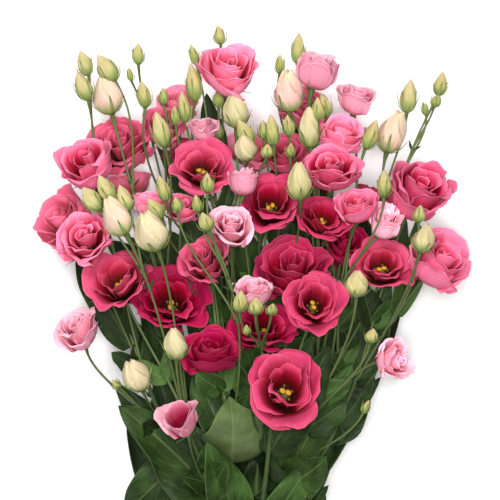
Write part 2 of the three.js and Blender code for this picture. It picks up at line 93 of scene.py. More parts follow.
# ---- the ten stems ---------------------------------------------------------------------------------------
# slot: distance and angle in the band. crown: where the main stem ends in its branches.
# blooms: node, form, tone, how light it is next to others of its tone, x, y, z of the middle of its mouth,
#     radius, heading, pitch, fork [, bow x, bow z].
# buds: x, y, z of the middle, width, length, heading, pitch, ripeness, fork [, bow x, bow z].
# pairs: the shares of the main stem where two leaves sit opposite each other.
# leaves: fork, x, y, z of the tip, width, arch, tilt about its midrib [, belly: less brings its widest place
#     nearer to the seat].
# heading is in degrees from +Y towards +X, pitch is how far it looks up, and ripeness goes from 0, green,
# over 0.6, cream, to 1, pink. fork is the share of the main stem where its stalk leaves, or (which, share) on
# an earlier bloom's or bud's stalk. A bow moves the middle of the stalk.
STEMS = {
    "stem_01": {
        "slot": (9, 180),
        "crown": (-95, 240, 90),
        "blooms": [
            ("bloom_01", "cup", "mid", 0.5, -150, 443, 130, 27, -20, 40, 1),
            ("bloom_02", "cup", "deep", 1.5, -175, 390, 100, 29, -50, 35, 0.96),
            ("bloom_03", "rose", "mid", 0.7, -149, 374, 150, 26, -15, 55, 0.92, 0, -14),
            ("bloom_04", "rose", "light", 0.4, -158, 293, 110, 23, -25, 35, 0.82, -14, 0),
        ],
        "buds": [
            (-151, 528, 110, 15, 24, -20, 5, 0.35, (0, 0.7), -10, 2),
            (-151, 507, 120, 16, 28, -18, 5, 0.35, (0, 0.6), -6, -14),
            (-103, 248, 135, 27, 31, -20, 25, 0.66, 0.8, 0, -8),
            (-122, 240, 122, 8, 10, -45, 20, 0.1, 0.72),
        ],
        "pairs": (0.35, 0.55, 0.78),
        "leaves": [
            ((2, 0.35), -160, 352, 72, 36, 0, 0),
            (0.7, -118, 112, 42, 44, 22, 0),
            (0.35, -88, 150, 30, 38, 8, 0),
            (0.3, -116, 198, 26, 54, 6, 0),
        ],
    },
    "stem_02": {
        "slot": (3.2, 160),
        "crown": (-62, 215, 120),
        "blooms": [
            ("bloom_05", "open", "deep", 0.8, -120, 337, 140, 31, -15, 50, 1),
            ("bloom_06", "open", "deep", 0.1, -74, 317, 120, 34, -10, 58, 0.96),
            ("bloom_07", "trumpet", "light", 0.0, -66, 217, 165, 19, -25, 40, 0.6, -8, -6),
            ("bloom_48", "cup", "mid", 1.0, -61, 400, 114, 15, 10, 45, 0.88),
        ],
        "buds": [
            (-120, 389, 178, 25, 37, -30, 10, 0.8, 0.92),
            (-142, 405, 165, 17, 26, -35, 10, 0.35, (4, 0.75)),
            (-130, 414, 160, 16, 28, -30, 10, 0.35, (4, 0.7)),
            (-114, 405, 170, 16, 26, -25, 10, 0.35, (4, 0.8)),
            (-89, 376, 178, 30, 38, -20, 20, 0.66, 0.88),
            (-67, 277, 162, 23, 30, 0, 20, 0.55, 0.85),
        ],
        "pairs": (0.4, 0.66),
        "leaves": [
            ((3, 0.6), -84, 386, 72, 30, 2, 10),
            (0.62, -118, 221, 112, 68, 10, 15, 0.7),
            (0.42, -78, 168, 82, 36, 4, 0),
            (0.5, -126, 240, 62, 50, 6, 0),
        ],
    },
    "stem_03": {
        "slot": (9, 231),
        "crown": (-60, 250, 60),
        "blooms": [
            ("bloom_08", "rose", "deep", 1.2, -121, 459, 80, 31, -15, 50, 1),
            ("bloom_09", "cup", "deep", 1.6, -80, 475, 92, 21, 0, 50, 0.96),
            ("bloom_10", "cup", "mid", 1.3, -92, 407, 122, 17, 0, 20, 0.92),
            ("bloom_11", "single", "deep", 1.6, -118, 420, 21, 24, -35, -20, 0.9),
            ("bloom_12", "single", "mid", 0.7, -95, 345, 22, 24, -40, -20, 0.85),
        ],
        "buds": [
            (-131, 500, 108, 27, 38, -15, 10, 0.85, (2, 0.5), 0, 12),
            (-130, 524, 112, 18, 29, -28, 5, 0.35, (5, 0.6), 6, 0),
            (-103, 537, 100, 11, 20, -3, 0, 0.25, (1, 0.6), 0, -26),
            (-110, 519, 98, 6, 13, -10, 0, 0.1, (7, 0.5), 6, -10),
            (-97, 500, 114, 13, 25, -5, 5, 0.25, (1, 0.65), -10, 14),
            (-80, 498, 122, 9, 16, -5, 5, 0.1, (1, 0.7), 6, 8),
            (-81, 467, 150, 17, 34, -12, 10, 0.35, (2, 0.5), 4, -8),
        ],
        "pairs": (0.3, 0.5, 0.7, 0.9),
        "leaves": [
            ((3, 0.5), -112, 372, 40, 34, 2, 10),
            (0.8, -106, 322, 40, 48, 0, 0),
            (0.5, -75, 190, 26, 38, 4, 0),
            (0.75, -120, 302, 44, 40, 2, 0),
            ((4, 0.8), -135, 372, 22, 34, 2, 0),
        ],
    },
    "stem_04": {
        "slot": (9.4, 129),
        "crown": (-25, 230, 116),
        "blooms": [
            ("bloom_13", "cup", "deep", -0.1, -36, 274, 140, 25, 0, 45, 1),
            ("bloom_14", "rose", "deep", 1.0, -44, 355, 145, 24, -20, 45, 0.96, 0, -8),
            ("bloom_15", "rose", "light", 0.5, -18, 384, 177, 21, 5, 48, 0.92, 6, -18),
            ("bloom_16", "open", "deep", 0.85, -45, 435, 156, 27, 0, 60, 0.88),
        ],
        "buds": [
            (-41, 385, 188, 14, 18, -15, 10, 0.25, 0.84, 20, 14),
            (-39, 419, 186, 11, 18, 0, 5, 0.25, (4, 0.7), -4, 4),
            (-48, 401, 180, 9, 16, -5, 5, 0.1, (4, 0.75)),
            (-66, 400, 176, 9, 14, -5, 5, 0.1, (4, 0.55)),
            (-79, 415, 160, 12, 25, -15, 5, 0.25, (3, 0.6), -4, -16),
            (-86, 396, 165, 14, 22, -40, 5, 0.25, (3, 0.5), -16, -18),
        ],
        "pairs": (0.38, 0.82),
        "leaves": [
            ((3, 0.45), -62, 394, 96, 34, 3, -10),
            ((3, 0.62), -18, 424, 112, 26, 2, 10),
            ((3, 0.3), -74, 388, 40, 28, 2, 0),
            (0.72, -19, 231, 160, 60, 36, 176, 0.6),
            (0.45, -42, 188, 118, 44, 14, 0),
        ],
    },
    "stem_05": {
        "slot": (9, 283),
        "crown": (-15, 260, 60),
        "blooms": [
            ("bloom_17", "cup", "light", 0.0, -44, 472, 135, 15, -10, 20, 1),
            ("bloom_18", "cup", "deep", 2.2, -68, 497, 62, 18, 0, 45, 0.96, 0, 8),
            ("bloom_19", "cup", "mid", 1.1, -20, 527, 132, 28, 10, 42, 0.92),
            ("bloom_20", "single", "deep", 0.5, -62, 452, 22, 24, -15, -20, 0.9),
            ("bloom_21", "single", "mid", 1.6, -4, 458, 22, 24, 0, -20, 0.88, -12, 12),
        ],
        "buds": [
            (-52, 535, 125, 9, 20, -15, 5, 0.1, (0, 0.6)),
            (-29, 554, 105, 11, 18, -5, 5, 0.25, (2, 0.7)),
            (-52, 510, 132, 14, 36, -5, 5, 0.25, (0, 0.7), -12, -20),
            (-61, 488, 128, 13, 29, -8, 5, 0.25, (0, 0.6)),
            (-69, 480, 135, 9, 18, -5, 5, 0.1, (0, 0.55)),
            (-30, 497, 105, 10, 18, 0, 5, 0.1, (2, 0.6)),
            (-30, 468, 120, 8, 16, 0, 5, 0.1, (2, 0.55)),
        ],
        "pairs": (0.3, 0.52, 0.75, 0.95),
        "leaves": [
            ((4, 0.35), 0, 374, 40, 42, 3, 0),
            ((2, 0.7), -42, 502, 82, 24, 2, 0),
            ((3, 0.4), -44, 380, 46, 40, 3, 0),
            (0.6, -38, 240, 26, 40, 3, 0),
            ((3, 0.6), -88, 460, 26, 26, 2, 0),
            (0.9, -62, 300, 50, 40, 2, 0),
            (0.85, -22, 352, 52, 50, 4, 0),
        ],
    },
    "stem_06": {
        "slot": (9, 77),
        "crown": (18, 215, 135),
        "blooms": [
            ("bloom_22", "open", "deep", 0.6, 30, 240, 175, 35, 5, 65, 1),
            ("bloom_23", "rose", "light", 0.4, 1, 328, 172, 19, -5, 25, 0.96),
            ("bloom_24", "open", "deep", 0.1, 9, 293, 125, 29, 0, 52, 0.92),
            ("bloom_25", "rose", "deep", 0.3, 37, 348, 128, 33, 0, 45, 0.88),
            ("bloom_26", "open", "deep", 0.55, 55, 316, 171, 28, 10, 62, 0.84),
        ],
        "buds": [
            (-11, 315, 190, 13, 20, 0, 10, 0.25, (1, 0.6)),
            (3, 311, 192, 13, 16, 0, 10, 0.25, (1, 0.65)),
            (17, 308, 188, 9, 11, 5, 10, 0.1, (1, 0.6)),
            (-5, 290, 182, 6, 9, -10, 10, 0.1, (5, 0.6)),
            (41, 420, 175, 22, 34, -5, 15, 0.42, (1, 0.4), 0, -80),
        ],
        "pairs": (0.36,),
        "leaves": [
            (0.82, 70, 276, 140, 44, 6, 0),
            (0.4, 64, 184, 104, 32, 10, 0),
        ],
    },
    "stem_07": {
        "slot": (3.2, 270),
        "crown": (10, 270, 95),
        "blooms": [
            ("bloom_27", "open", "deep", 0.45, 17, 405, 148, 30, 5, 55, 1, -4, -4),
            ("bloom_28", "cup", "deep", 1.7, 4, 450, 72, 18, 0, 45, 0.96),
            ("bloom_29", "tight", "light", 0.1, -8, 423, 158, 13, 0, 10, 0.92, -20, -16),
            ("bloom_30", "cup", "deep", 1.0, 30, 450, 95, 21, 0, 45, 0.88),
            ("bloom_31", "single", "mid", 0.6, 8, 395, 24, 28, 0, -25, 0.9),
        ],
        "buds": [
            (-14, 484, 140, 23, 32, 0, 10, 0.52, 0.84),
            (-6, 465, 152, 14, 27, -25, 5, 0.25, (2, 0.6), -20, -8),
            (-6, 451, 160, 20, 29, -10, 40, 0.6, (2, 0.6), -10, -14),
            (10, 467, 138, 10, 18, -5, 5, 0.1, (3, 0.6)),
            (18, 467, 145, 13, 29, -5, 5, 0.25, (3, 0.6)),
            (13, 448, 150, 11, 13, 0, 5, 0.25, (3, 0.5), -24, -24),
        ],
        "pairs": (0.4, 0.62, 0.85),
        "leaves": [
            ((3, 0.6), 20, 442, 62, 30, 2, 0),
            ((4, 0.5), -10, 384, 36, 38, 3, 0),
            (0.45, 24, 200, 62, 44, 6, 0),
            (0.75, 44, 338, 62, 44, 0, 0),
        ],
    },
    "stem_08": {
        "slot": (3.2, 30),
        "crown": (55, 225, 118),
        "blooms": [
            ("bloom_32", "open", "deep", 0.35, 64, 392, 140, 25, 10, 45, 1, 24, -24),
            ("bloom_33", "cup", "deep", -0.1, 84, 369, 102, 20, 10, 50, 0.96),
            ("bloom_34", "open", "deep", 0.75, 117, 349, 125, 28, 5, 55, 0.92),
            ("bloom_35", "rose", "light", 0.9, 131, 263, 135, 20, 80, 35, 0.85),
        ],
        "buds": [
            (92, 330, 158, 22, 25, 0, 15, 0.38, 0.88),
            (106, 284, 148, 12, 14, 10, 10, 0.25, 0.9),
            (102, 220, 130, 7, 13, 25, 5, 0.1, 0.7),
        ],
        "pairs": (0.4, 0.64, 0.88),
        "leaves": [
            (0.7, 92, 252, 128, 42, 6, 0),
            (0.45, 78, 190, 84, 38, 6, 0),
            (0.3, 70, 146, 74, 34, 6, 0),
            (0.5, 118, 244, 60, 32, 4, 0),
        ],
    },
    "stem_09": {
        "slot": (9, 334),
        "crown": (60, 255, 58),
        "blooms": [
            ("bloom_36", "cup", "deep", 1.5, 48, 491, 80, 22, 5, 50, 1),
            ("bloom_37", "tight", "light", 0.0, 59, 524, 120, 18, 15, 20, 0.96, 4, 4),
            ("bloom_38", "cup", "mid", 1.05, 81, 467, 120, 21, 10, 40, 0.92),
            ("bloom_39", "cup", "light", 0.2, 94, 501, 115, 19, 10, 20, 0.88, 25, -45),
            ("bloom_40", "rose", "mid", 0.45, 70, 437, 153, 27, 0, 45, 0.84, -6, -18),
            ("bloom_41", "single", "deep", 0.6, 58, 450, 22, 24, 15, -20, 0.9),
            ("bloom_42", "single", "mid", -0.4, 88, 350, 22, 24, 40, -20, 0.85),
        ],
        "buds": [
            (25, 528, 100, 9, 18, 0, 5, 0.1, (0, 0.7), -8, 0),
            (42, 542, 105, 12, 29, 5, 5, 0.25, (1, 0.7), 18, 0),
            (33, 502, 122, 28, 38, 0, 10, 0.95, (0, 0.6), 20, -8),
            (33, 471, 135, 11, 20, 0, 5, 0.25, (0, 0.6), 6, 6),
            (34, 449, 142, 8, 13, 0, 5, 0.1, (0, 0.55)),
            (51, 470, 125, 20, 38, -5, 10, 0.55, (4, 0.5)),
            (59, 486, 130, 12, 22, 0, 5, 0.25, (4, 0.5)),
            (66, 491, 102, 11, 23, -10, 5, 0.25, (2, 0.6), -18, -20),
        ],
        "pairs": (0.3, 0.5, 0.72, 0.92),
        "leaves": [
            ((5, 0.5), 36, 394, 46, 38, 3, 0),
            ((0, 0.6), 40, 474, 52, 30, 2, 0),
            ((5, 0.65), 70, 430, 40, 34, 2, 0),
            (0.8, 92, 330, 40, 46, 0, 0),
            (0.45, 70, 190, 24, 38, 4, 0),
        ],
    },
    "stem_10": {
        "slot": (9, 26),
        "crown": (95, 245, 92),
        "blooms": [
            ("bloom_43", "cup", "mid", 0.15, 152, 420, 134, 33, 25, 40, 1),
            ("bloom_44", "cup", "mid", 0.5, 171, 354, 128, 29, 40, 40, 0.96),
            ("bloom_46", "cup", "mid", 0.6, 93, 403, 155, 20, -5, 40, 0.88, -22, -2),
            ("bloom_45", "tight", "light", 1.1, 120, 388, 142, 16, 15, 45, (2, 0.5), -14, 29),
            ("bloom_47", "single", "deep", 0.6, 115, 410, 21, 24, 30, -20, 0.9),
        ],
        "buds": [
            (107, 463, 125, 14, 29, 25, 5, 0.25, (2, 0.5), 6, 8),
            (126, 466, 112, 27, 40, 15, 10, 0.82, (0, 0.5)),
            (141, 499, 105, 16, 32, 5, 5, 0.35, (6, 0.6)),
            (171, 510, 100, 12, 23, 15, 5, 0.25, (0, 0.5), -16, 0),
            (166, 495, 100, 9, 13, 15, 5, 0.1, (8, 0.7)),
            (156, 488, 100, 6, 13, -10, 5, 0.1, (8, 0.6)),
            (118, 419, 155, 13, 25, 5, 5, 0.25, (2, 0.6), 2, 28),
            (148, 392, 160, 11, 16, 5, 5, 0.25, (1, 0.5), 6, 8),
            (152, 370, 160, 21, 26, 15, 10, 0.45, (1, 0.4)),
        ],
        "pairs": (0.76,),
        "leaves": [
            ((0, 0.55), 140, 388, 82, 34, 2, 10),
            (0.92, 112, 326, 60, 38, 3, 0),
            ((4, 0.4), 106, 340, 46, 36, 3, 0),
            (0.97, 126, 332, 82, 40, 2, 0),
            (0.8, 112, 246, 75, 24, 4, 0),
            (0.95, 142, 322, 50, 30, 2, 0),
            ((4, 0.6), 108, 394, 30, 28, 2, 0),
            ((1, 0.6), 154, 394, 60, 26, 2, 0),
        ],
    },
}

# ---- bloom forms -----------------------------------------------------------------------------------------
# foot: where the stalk ends. sets, from the outside in: how many petals, the turn between two, the half angle
# in radians that the first and the last covers, (rounding of the top, waves, roll of the rim) and (rows,
# columns) of the grid, then the paths of the first and of the last from the axis to the rim, (distance from
# the axis, height) four times. Lengths are shares of the bloom's radius, and the middle of its mouth is at
# height 0.
FORMS = {
    "open": {
        "foot": -0.8,
        "sets": [
            (5, 72, (1.0, 0.92), (0.32, 0.15, 0.17), (17, 19),
             [(0.05, -0.78), (0.66, -0.78), (0.8, -0.14), (1.12, 0.02)],
             [(0.05, -0.78), (0.62, -0.72), (0.74, -0.1), (1.02, 0.18)]),
            (3, 130, (1.05, 0.95), (0.26, 0.13, 0.15), (15, 16),
             [(0.04, -0.75), (0.52, -0.72), (0.6, -0.12), (0.88, 0.16)],
             [(0.04, -0.75), (0.5, -0.68), (0.54, -0.05), (0.74, 0.26)]),
            (5, 76, (1.0, 0.95), (0.22, 0.1, 0.11), (14, 14),
             [(0.03, -0.72), (0.46, -0.72), (0.38, -0.12), (0.62, 0.22)],
             [(0.03, -0.72), (0.42, -0.68), (0.34, -0.1), (0.48, 0.24)]),
        ],
    },
    "cup": {
        "foot": -1.0,
        "sets": [
            (4, 88, (1.12, 1.05), (0.26, 0.11, 0.17), (17, 20),
             [(0.05, -0.98), (0.94, -1.0), (0.92, -0.3), (1.06, 0.08)],
             [(0.05, -0.98), (0.92, -0.98), (0.86, -0.2), (0.94, 0.24)]),
            (4, 98, (1.05, 1.1), (0.22, 0.11, 0.15), (15, 17),
             [(0.04, -0.92), (0.7, -0.92), (0.7, -0.15), (0.86, 0.2)],
             [(0.04, -0.92), (0.66, -0.88), (0.62, -0.05), (0.64, 0.34)]),
            (3, 128, (1.25, 1.35), (0.18, 0.07, 0.08), (13, 15),
             [(0.03, -0.86), (0.46, -0.82), (0.46, -0.05), (0.52, 0.26)],
             [(0.03, -0.86), (0.4, -0.78), (0.38, 0.0), (0.34, 0.3)]),
            (2, GOLDEN, (1.6, 2.1), (0.16, 0.05, 0.06), (10, 13),
             [(0.02, -0.6), (0.26, -0.5), (0.24, 0.0), (0.2, 0.16)],
             [(0.01, -0.5), (0.12, -0.4), (0.12, 0.0), (0.08, 0.2)]),
        ],
    },
    "rose": {
        "foot": -1.0,
        "sets": [
            (5, 72, (0.88, 0.84), (0.26, 0.12, 0.18), (16, 16),
             [(0.05, -0.98), (0.8, -0.98), (0.84, -0.3), (1.08, 0.0)],
             [(0.05, -0.98), (0.78, -0.96), (0.82, -0.25), (0.98, 0.14)]),
            (5, 72, (0.95, 0.95), (0.24, 0.12, 0.15), (14, 14),
             [(0.04, -0.92), (0.6, -0.9), (0.66, -0.2), (0.84, 0.16)],
             [(0.04, -0.92), (0.56, -0.86), (0.6, -0.1), (0.68, 0.28)]),
            (8, GOLDEN, (0.95, 1.8), (0.18, 0.09, 0.08), (11, 13),
             [(0.03, -0.86), (0.46, -0.8), (0.5, -0.05), (0.56, 0.24)],
             [(0.01, -0.6), (0.1, -0.5), (0.1, 0.0), (0.08, 0.28)]),
        ],
    },
    "single": {
        "foot": -0.8,
        "sets": [
            (5, 72, (0.88, 0.84), (0.28, 0.08, 0.13), (12, 13),
             [(0.05, -0.78), (0.62, -0.76), (0.84, -0.12), (1.1, 0.02)],
             [(0.05, -0.78), (0.62, -0.7), (0.76, -0.1), (1.02, 0.14)]),
            (5, 72, (0.95, 0.9), (0.22, 0.08, 0.12), (12, 12),
             [(0.04, -0.72), (0.46, -0.7), (0.48, -0.1), (0.78, 0.14)],
             [(0.04, -0.72), (0.44, -0.66), (0.42, -0.05), (0.62, 0.22)]),
        ],
    },
    "tight": {
        "foot": -1.15,
        "sets": [
            (5, 72, (0.86, 0.8), (0.24, 0.12, 0.2), (18, 17),
             [(0.05, -1.1), (1.1, -1.08), (0.96, -0.1), (0.98, 0.46)],
             [(0.05, -1.1), (1.04, -1.05), (0.9, 0.0), (0.84, 0.6)]),
            (11, GOLDEN, (0.8, 1.3), (0.2, 0.17, 0.13), (13, 14),
             [(0.05, -0.9), (0.84, -0.8), (0.76, 0.0), (0.78, 0.6)],
             [(0.02, -0.5), (0.2, -0.4), (0.16, 0.1), (0.14, 0.6)]),
        ],
    },
    "trumpet": {
        "foot": -1.5,
        "sets": [
            (5, 74, (1.0, 0.95), (0.26, 0.08, 0.16), (19, 18),
             [(0.05, -1.45), (0.8, -1.4), (0.58, -0.4), (1.14, 0.0)],
             [(0.05, -1.45), (0.76, -1.35), (0.58, -0.3), (0.94, 0.16)]),
            (4, 94, (1.05, 1.0), (0.24, 0.05, 0.12), (17, 16),
             [(0.04, -1.4), (0.74, -1.35), (0.52, -0.4), (0.9, 0.02)],
             [(0.04, -1.4), (0.7, -1.3), (0.5, -0.3), (0.76, 0.1)]),
        ],
    },
}

# ---- finishes --------------------------------------------------------------------------------------------


class Value:
    """A number or colour that varies over a surface. Arithmetic on it adds Math nodes."""

    def __init__(self, shade, socket):
        self.shade = shade
        self.socket = socket

    def math(self, operation, *values):
        return self.shade.node("ShaderNodeMath", {"operation": operation}, dict(enumerate(values)))

    def __add__(self, other):
        return self.math("ADD", self, other)

    def __sub__(self, other):
        return self.math("SUBTRACT", self, other)

    def __rsub__(self, other):
        return self.math("SUBTRACT", other, self)

    def __mul__(self, other):
        return self.math("MULTIPLY", self, other)

    def __abs__(self):
        return self.math("ABSOLUTE", self)

    __radd__ = __add__
    __rmul__ = __mul__


class Shade:
    """One material. Numbers and colours that are the same all over are set on the shader's own sockets."""

    def __init__(self, name, **constants):
        self.material = bpy.data.materials.new(name)
        self.material.use_nodes = True
        self.tree = self.material.node_tree
        self.shader = self.tree.nodes["Principled BSDF"]
        for socket, value in constants.items():
            self.shader.inputs[socket.replace("_", " ")].default_value = value

    def feed(self, socket, value):
        if isinstance(value, Value):
            self.tree.links.new(value.socket, socket)
        else:
            socket.default_value = value

    def node(self, kind, settings=None, inputs=None, out=0):
        """Adds a node: its settings first, with a ramp's stops as (place, colour), then values or links."""
        made = self.tree.nodes.new(kind)
        for key, value in (settings or {}).items():
            if key == "stops":
                for _ in value[2:]:
                    made.color_ramp.elements.new(0.5)
                for stop, (place, colour) in zip(made.color_ramp.elements, value):
                    stop.position = place
                    stop.color = colour
            else:
                setattr(made, key, value)
        for key, value in (inputs or {}).items():
            self.feed(made.inputs[key], value)
        return Value(self, made.outputs[out])

    def place(self):
        """Across, along and side on the piece's own surfaces."""
        vector = self.node("ShaderNodeAttribute", {"attribute_name": "place"}, out="Vector")
        return [self.node("ShaderNodeSeparateXYZ", inputs={0: vector}, out=k) for k in range(3)]

    def tint(self):
        return self.node("ShaderNodeAttribute", {"attribute_name": "tint"}, out="Fac")

    def ramp(self, factor, *stops):
        return self.node("ShaderNodeValToRGB", {"stops": [(p, rgb(c)) for p, c in stops]}, {0: factor})

    def mix(self, factor, a, b):
        return self.node("ShaderNodeMix", {"data_type": "RGBA"}, {0: factor, 6: a, 7: b}, 2)

    def shift(self, colour, value, hue=0.5, saturation=1.0):
        """The colour with its value and saturation multiplied, and its hue turned by what hue is over 0.5."""
        inputs = {"Hue": hue, "Saturation": saturation, "Value": value, "Color": colour}
        return self.node("ShaderNodeHueSaturation", inputs=inputs)

    def fade(self, value, low, high):
        """0 up to low and 1 from high, smooth in between."""
        settings = {"interpolation_type": "SMOOTHSTEP"}
        return self.node("ShaderNodeMapRange", settings, {0: value, 1: low, 2: high})

    def noise(self, vector, scale, detail):
        return self.node("ShaderNodeTexNoise", inputs={"Vector": vector, "Scale": scale, "Detail": detail})

    def vector(self, x, y, z):
        return self.node("ShaderNodeCombineXYZ", inputs={0: x, 1: y, 2: z})

    def object_noise(self, scale, detail):
        return self.noise(self.node("ShaderNodeTexCoord", out="Object"), scale, detail)

    def finish(self, colour, roughness, height=None, strength=0.2, distance=0.0003):
        """The material, with a colour, a roughness and, where there is a height, a bump of it."""
        self.feed(self.shader.inputs["Base Color"], colour)
        self.feed(self.shader.inputs["Roughness"], roughness)
        if height is not None:
            inputs = {"Strength": strength, "Distance": distance, "Height": height}
            self.feed(self.shader.inputs["Normal"], self.node("ShaderNodeBump", inputs=inputs))
        return self.material


def rgb(code):
    """A linear colour from six sRGB hex digits: ((c + 0.055) / 1.055)^2.4."""
    parts = np.array([int(code[i : i + 2], 16) / 255 for i in (0, 2, 4)])
    return (*(((parts + 0.055) / 1.055) ** 2.4), 1.0)


def petal_finish(name, inner, outer):
    """Velvety petal: inner and outer are ramps of colours from the depth of the bloom to its top, with fine
    veins that fan out. The dark depth of the ramps is partly the throat's own colour and partly painted
    shade, and the value rises towards the top as more painted shade; it also gets a little warmer there. The
    paler line at the rim, where side is 0.5, is a painted highlight. tint is how light the petal is.
    """
    s = Shade(name, Subsurface_Weight=0.15, Subsurface_Scale=0.002, Specular_IOR_Level=0.16)
    across, along, side = s.place()
    tint = s.tint()
    veins = s.noise(s.vector(across * 18, along * 1.6, tint * 37), 1.0, 3.0)
    cloud = s.object_noise(90, 3.0)
    at = along + (veins - 0.5) * 0.1 + (cloud - 0.5) * 0.1
    # painted highlight: rim is a paler, less saturated line along each petal's rim and flanks
    rim = s.fade(1 - abs(side - 0.5) * 2, 0.2, 1.0)
    colour = s.mix(s.fade(side, 0.5, 0.6), s.ramp(at, *inner), s.ramp(at, *outer))
    hue = 0.512 - 0.01 * along - 0.003 * tint
    saturation = 1.08 - 0.12 * tint - 0.06 * rim
    # painted shade: the factor on along darkens the petal towards the depth of the bloom
    value = (0.76 + 0.4 * tint) * (0.76 + 0.25 * along) + (veins - 0.5) * 0.3 + 0.1 * rim
    colour = s.shift(colour, value, hue, saturation)
    return s.finish(colour, 0.55 + 0.25 * cloud, veins, 0.4, 0.0005)


def bud_finish():
    """Closed petals: pale green when small, then yellow-green, cream and pink, and greener at the base.

    tint is how ripe the bud is. side tells how far round its fold a point lies: the hidden end, under the
    free edge of the fold before, is greener, its own colour, and darker with painted shade; the free edge is
    paler.
    """
    s = Shade("bud_petals", Subsurface_Weight=0.15, Subsurface_Scale=0.002, Specular_IOR_Level=0.35)
    across, along, side = s.place()
    ripe = s.tint()
    veins = s.noise(s.vector(across * 70, along * 3, ripe * 20), 1.0, 2.0)
    cloud = s.object_noise(120, 2.0)
    stops = [(0.0, "9ea452"), (0.3, "c0b474"), (0.6, "ccc096"), (0.8, "d8bca4"), (1.0, "dcaea6")]
    body = s.ramp(ripe + (cloud - 0.5) * 0.16, *stops)
    foot = s.mix(ripe, rgb("64843a"), rgb("9caa62"))
    colour = s.mix(s.fade(along + (veins - 0.5) * 0.5, 0.02, 0.6 - 0.25 * ripe), foot, body)
    # painted shade: the tucked-in end of each fold is darker, and greener in its own colour
    valley_shade = (1 - s.fade(side, 0.0, 0.2)) * s.fade(along, 0.12, 0.4)
    colour = s.mix(valley_shade * 0.5, colour, rgb("88904c"))
    edge = s.fade(side, 0.82, 0.98) * s.fade(along, 0.25, 0.6)
    colour = s.mix(edge * 0.55, colour, s.mix(ripe, rgb("c6c074"), rgb("eec8b6")))
    tip = s.fade(along, 0.55, 1.0) * 0.75
    colour = s.mix(tip, colour, s.mix(ripe, rgb("ccb688"), rgb("e0cfaa")))
    colour = s.shift(colour, 0.6 + 0.16 * ripe + 0.4 * veins)
    return s.finish(colour, 0.5 + 0.2 * cloud, veins, 0.4, 0.0005)


def stalk_finish():
    """Smooth grey-green stalks, with faint ridges along them. Where tint is 2, on the sepals of buds, the
    green is as pale as a young bud, and darker towards the tip."""
    s = Shade("stalk_skin", Specular_IOR_Level=0.4)
    across, along, _ = s.place()
    tint = s.tint()
    ridges = s.noise(s.vector(across * 30, along * 6, tint * 9), 1.0, 2.0)
    cloud = s.object_noise(60, 3.0)
    colour = s.ramp(tint + (cloud - 0.5) * 0.5, (0.0, "384c24"), (0.5, "48582a"), (1.0, "5e6e36"))
    colour = s.mix(s.fade(ridges, 0.45, 0.75) * 0.4, colour, rgb("7c8652"))
    sepal = s.mix(s.fade(along, 0.6, 0.95), s.ramp(ridges, (0.3, "66803a"), (0.7, "94a25c")), rgb("52642e"))
    colour = s.mix(s.fade(tint, 1.2, 2.0), colour, sepal)
    return s.finish(colour, 0.45 + 0.25 * cloud, ridges, 0.3, 0.0004)


def leaf_finish():
    """Leaf: dark green above and paler, greyer green below, with a midrib, two arching veins on each side,
    slanting veins between them and a paler margin. tint is how light the leaf is.
    """
    s = Shade("leaf_skin", Specular_IOR_Level=0.22)
    across, along, side = s.place()
    tint = s.tint()
    wide = abs(across)
    midrib = 1 - s.fade(wide, 0.015, 0.06)
    arcs = (1 - s.fade(abs(wide - 0.34), 0.006, 0.03)) + (1 - s.fade(abs(wide - 0.68), 0.006, 0.026)) * 0.7
    slant = s.noise(s.vector(along * 22 - wide * 9, across * 3, tint * 11), 1.0, 2.0)
    cloud = s.object_noise(45, 3.0)
    upper = s.ramp(cloud + (tint - 0.5) * 0.3, (0.25, "182b0b"), (0.5, "284016"), (0.75, "3e5826"))
    lower = s.ramp(cloud + (tint - 0.5) * 0.3, (0.25, "3a4a26"), (0.5, "4e6036"), (0.75, "66784a"))
    colour = s.mix(side, upper, lower)
    colour = s.mix(midrib * 0.3, colour, rgb("7c9458"))
    colour = s.mix(arcs * 0.1, colour, rgb("648048"))
    colour = s.mix(s.fade(slant, 0.5, 0.7) * 0.18, colour, rgb("648048"))
    colour = s.mix(s.fade(wide, 0.95, 1.0) * 0.25, colour, rgb("7c9058"))
    colour = s.shift(colour, 0.72 + 0.6 * tint)
    height = slant * 0.5 - midrib - arcs * 0.5
    return s.finish(colour, 0.5 + 0.25 * cloud, height, 0.4, 0.0007)


def pistil_finish():
    """Green ovary and style, olive anthers and golden stigma lobes, all finely grained."""
    s = Shade("pistil_grain", Specular_IOR_Level=0.3)
    grain = s.object_noise(1400, 3.0)
    colour = s.ramp(s.tint(), (0.0, "4e5a24"), (0.4, "6a5a34"), (0.7, "7c5c1c"), (1.0, "b8881c"))
    colour = s.shift(colour, 0.8 + 0.4 * grain)
    return s.finish(colour, 0.6 + 0.3 * grain, grain, 0.5, 0.0003)


def rubber_finish():
    """Natural rubber: pale tan, a little darker in patches, dull, with fine lines across the strand."""
    s = Shade("natural_rubber", Subsurface_Weight=0.1, Subsurface_Scale=0.001, Specular_IOR_Level=0.35)
    across, along, _ = s.place()
    cloud = s.object_noise(160, 3.0)
    lines = s.noise(s.vector(across * 4, along * 900, 0.0), 1.0, 1.0)
    colour = s.ramp(cloud, (0.3, "b99a63"), (0.55, "d0b682"), (0.8, "dfc99a"))
    return s.finish(colour, 0.55 + 0.2 * cloud, lines + cloud, 0.3, 0.0002)


def floor_finish():
    """A plain white matt surface, which glows a very little, so that it looks white under a soft light."""
    s = Shade(
        "plain_floor",
        Specular_IOR_Level=0.1,
        Emission_Color=(1, 1, 1, 1),
        Emission_Strength=FLOOR["glow"],
    )
    cloud = s.object_noise(3, 2.0)
    return s.finish(s.ramp(cloud, (0.0, "f4f4f4"), (1.0, "fbfbfb")), 0.9)
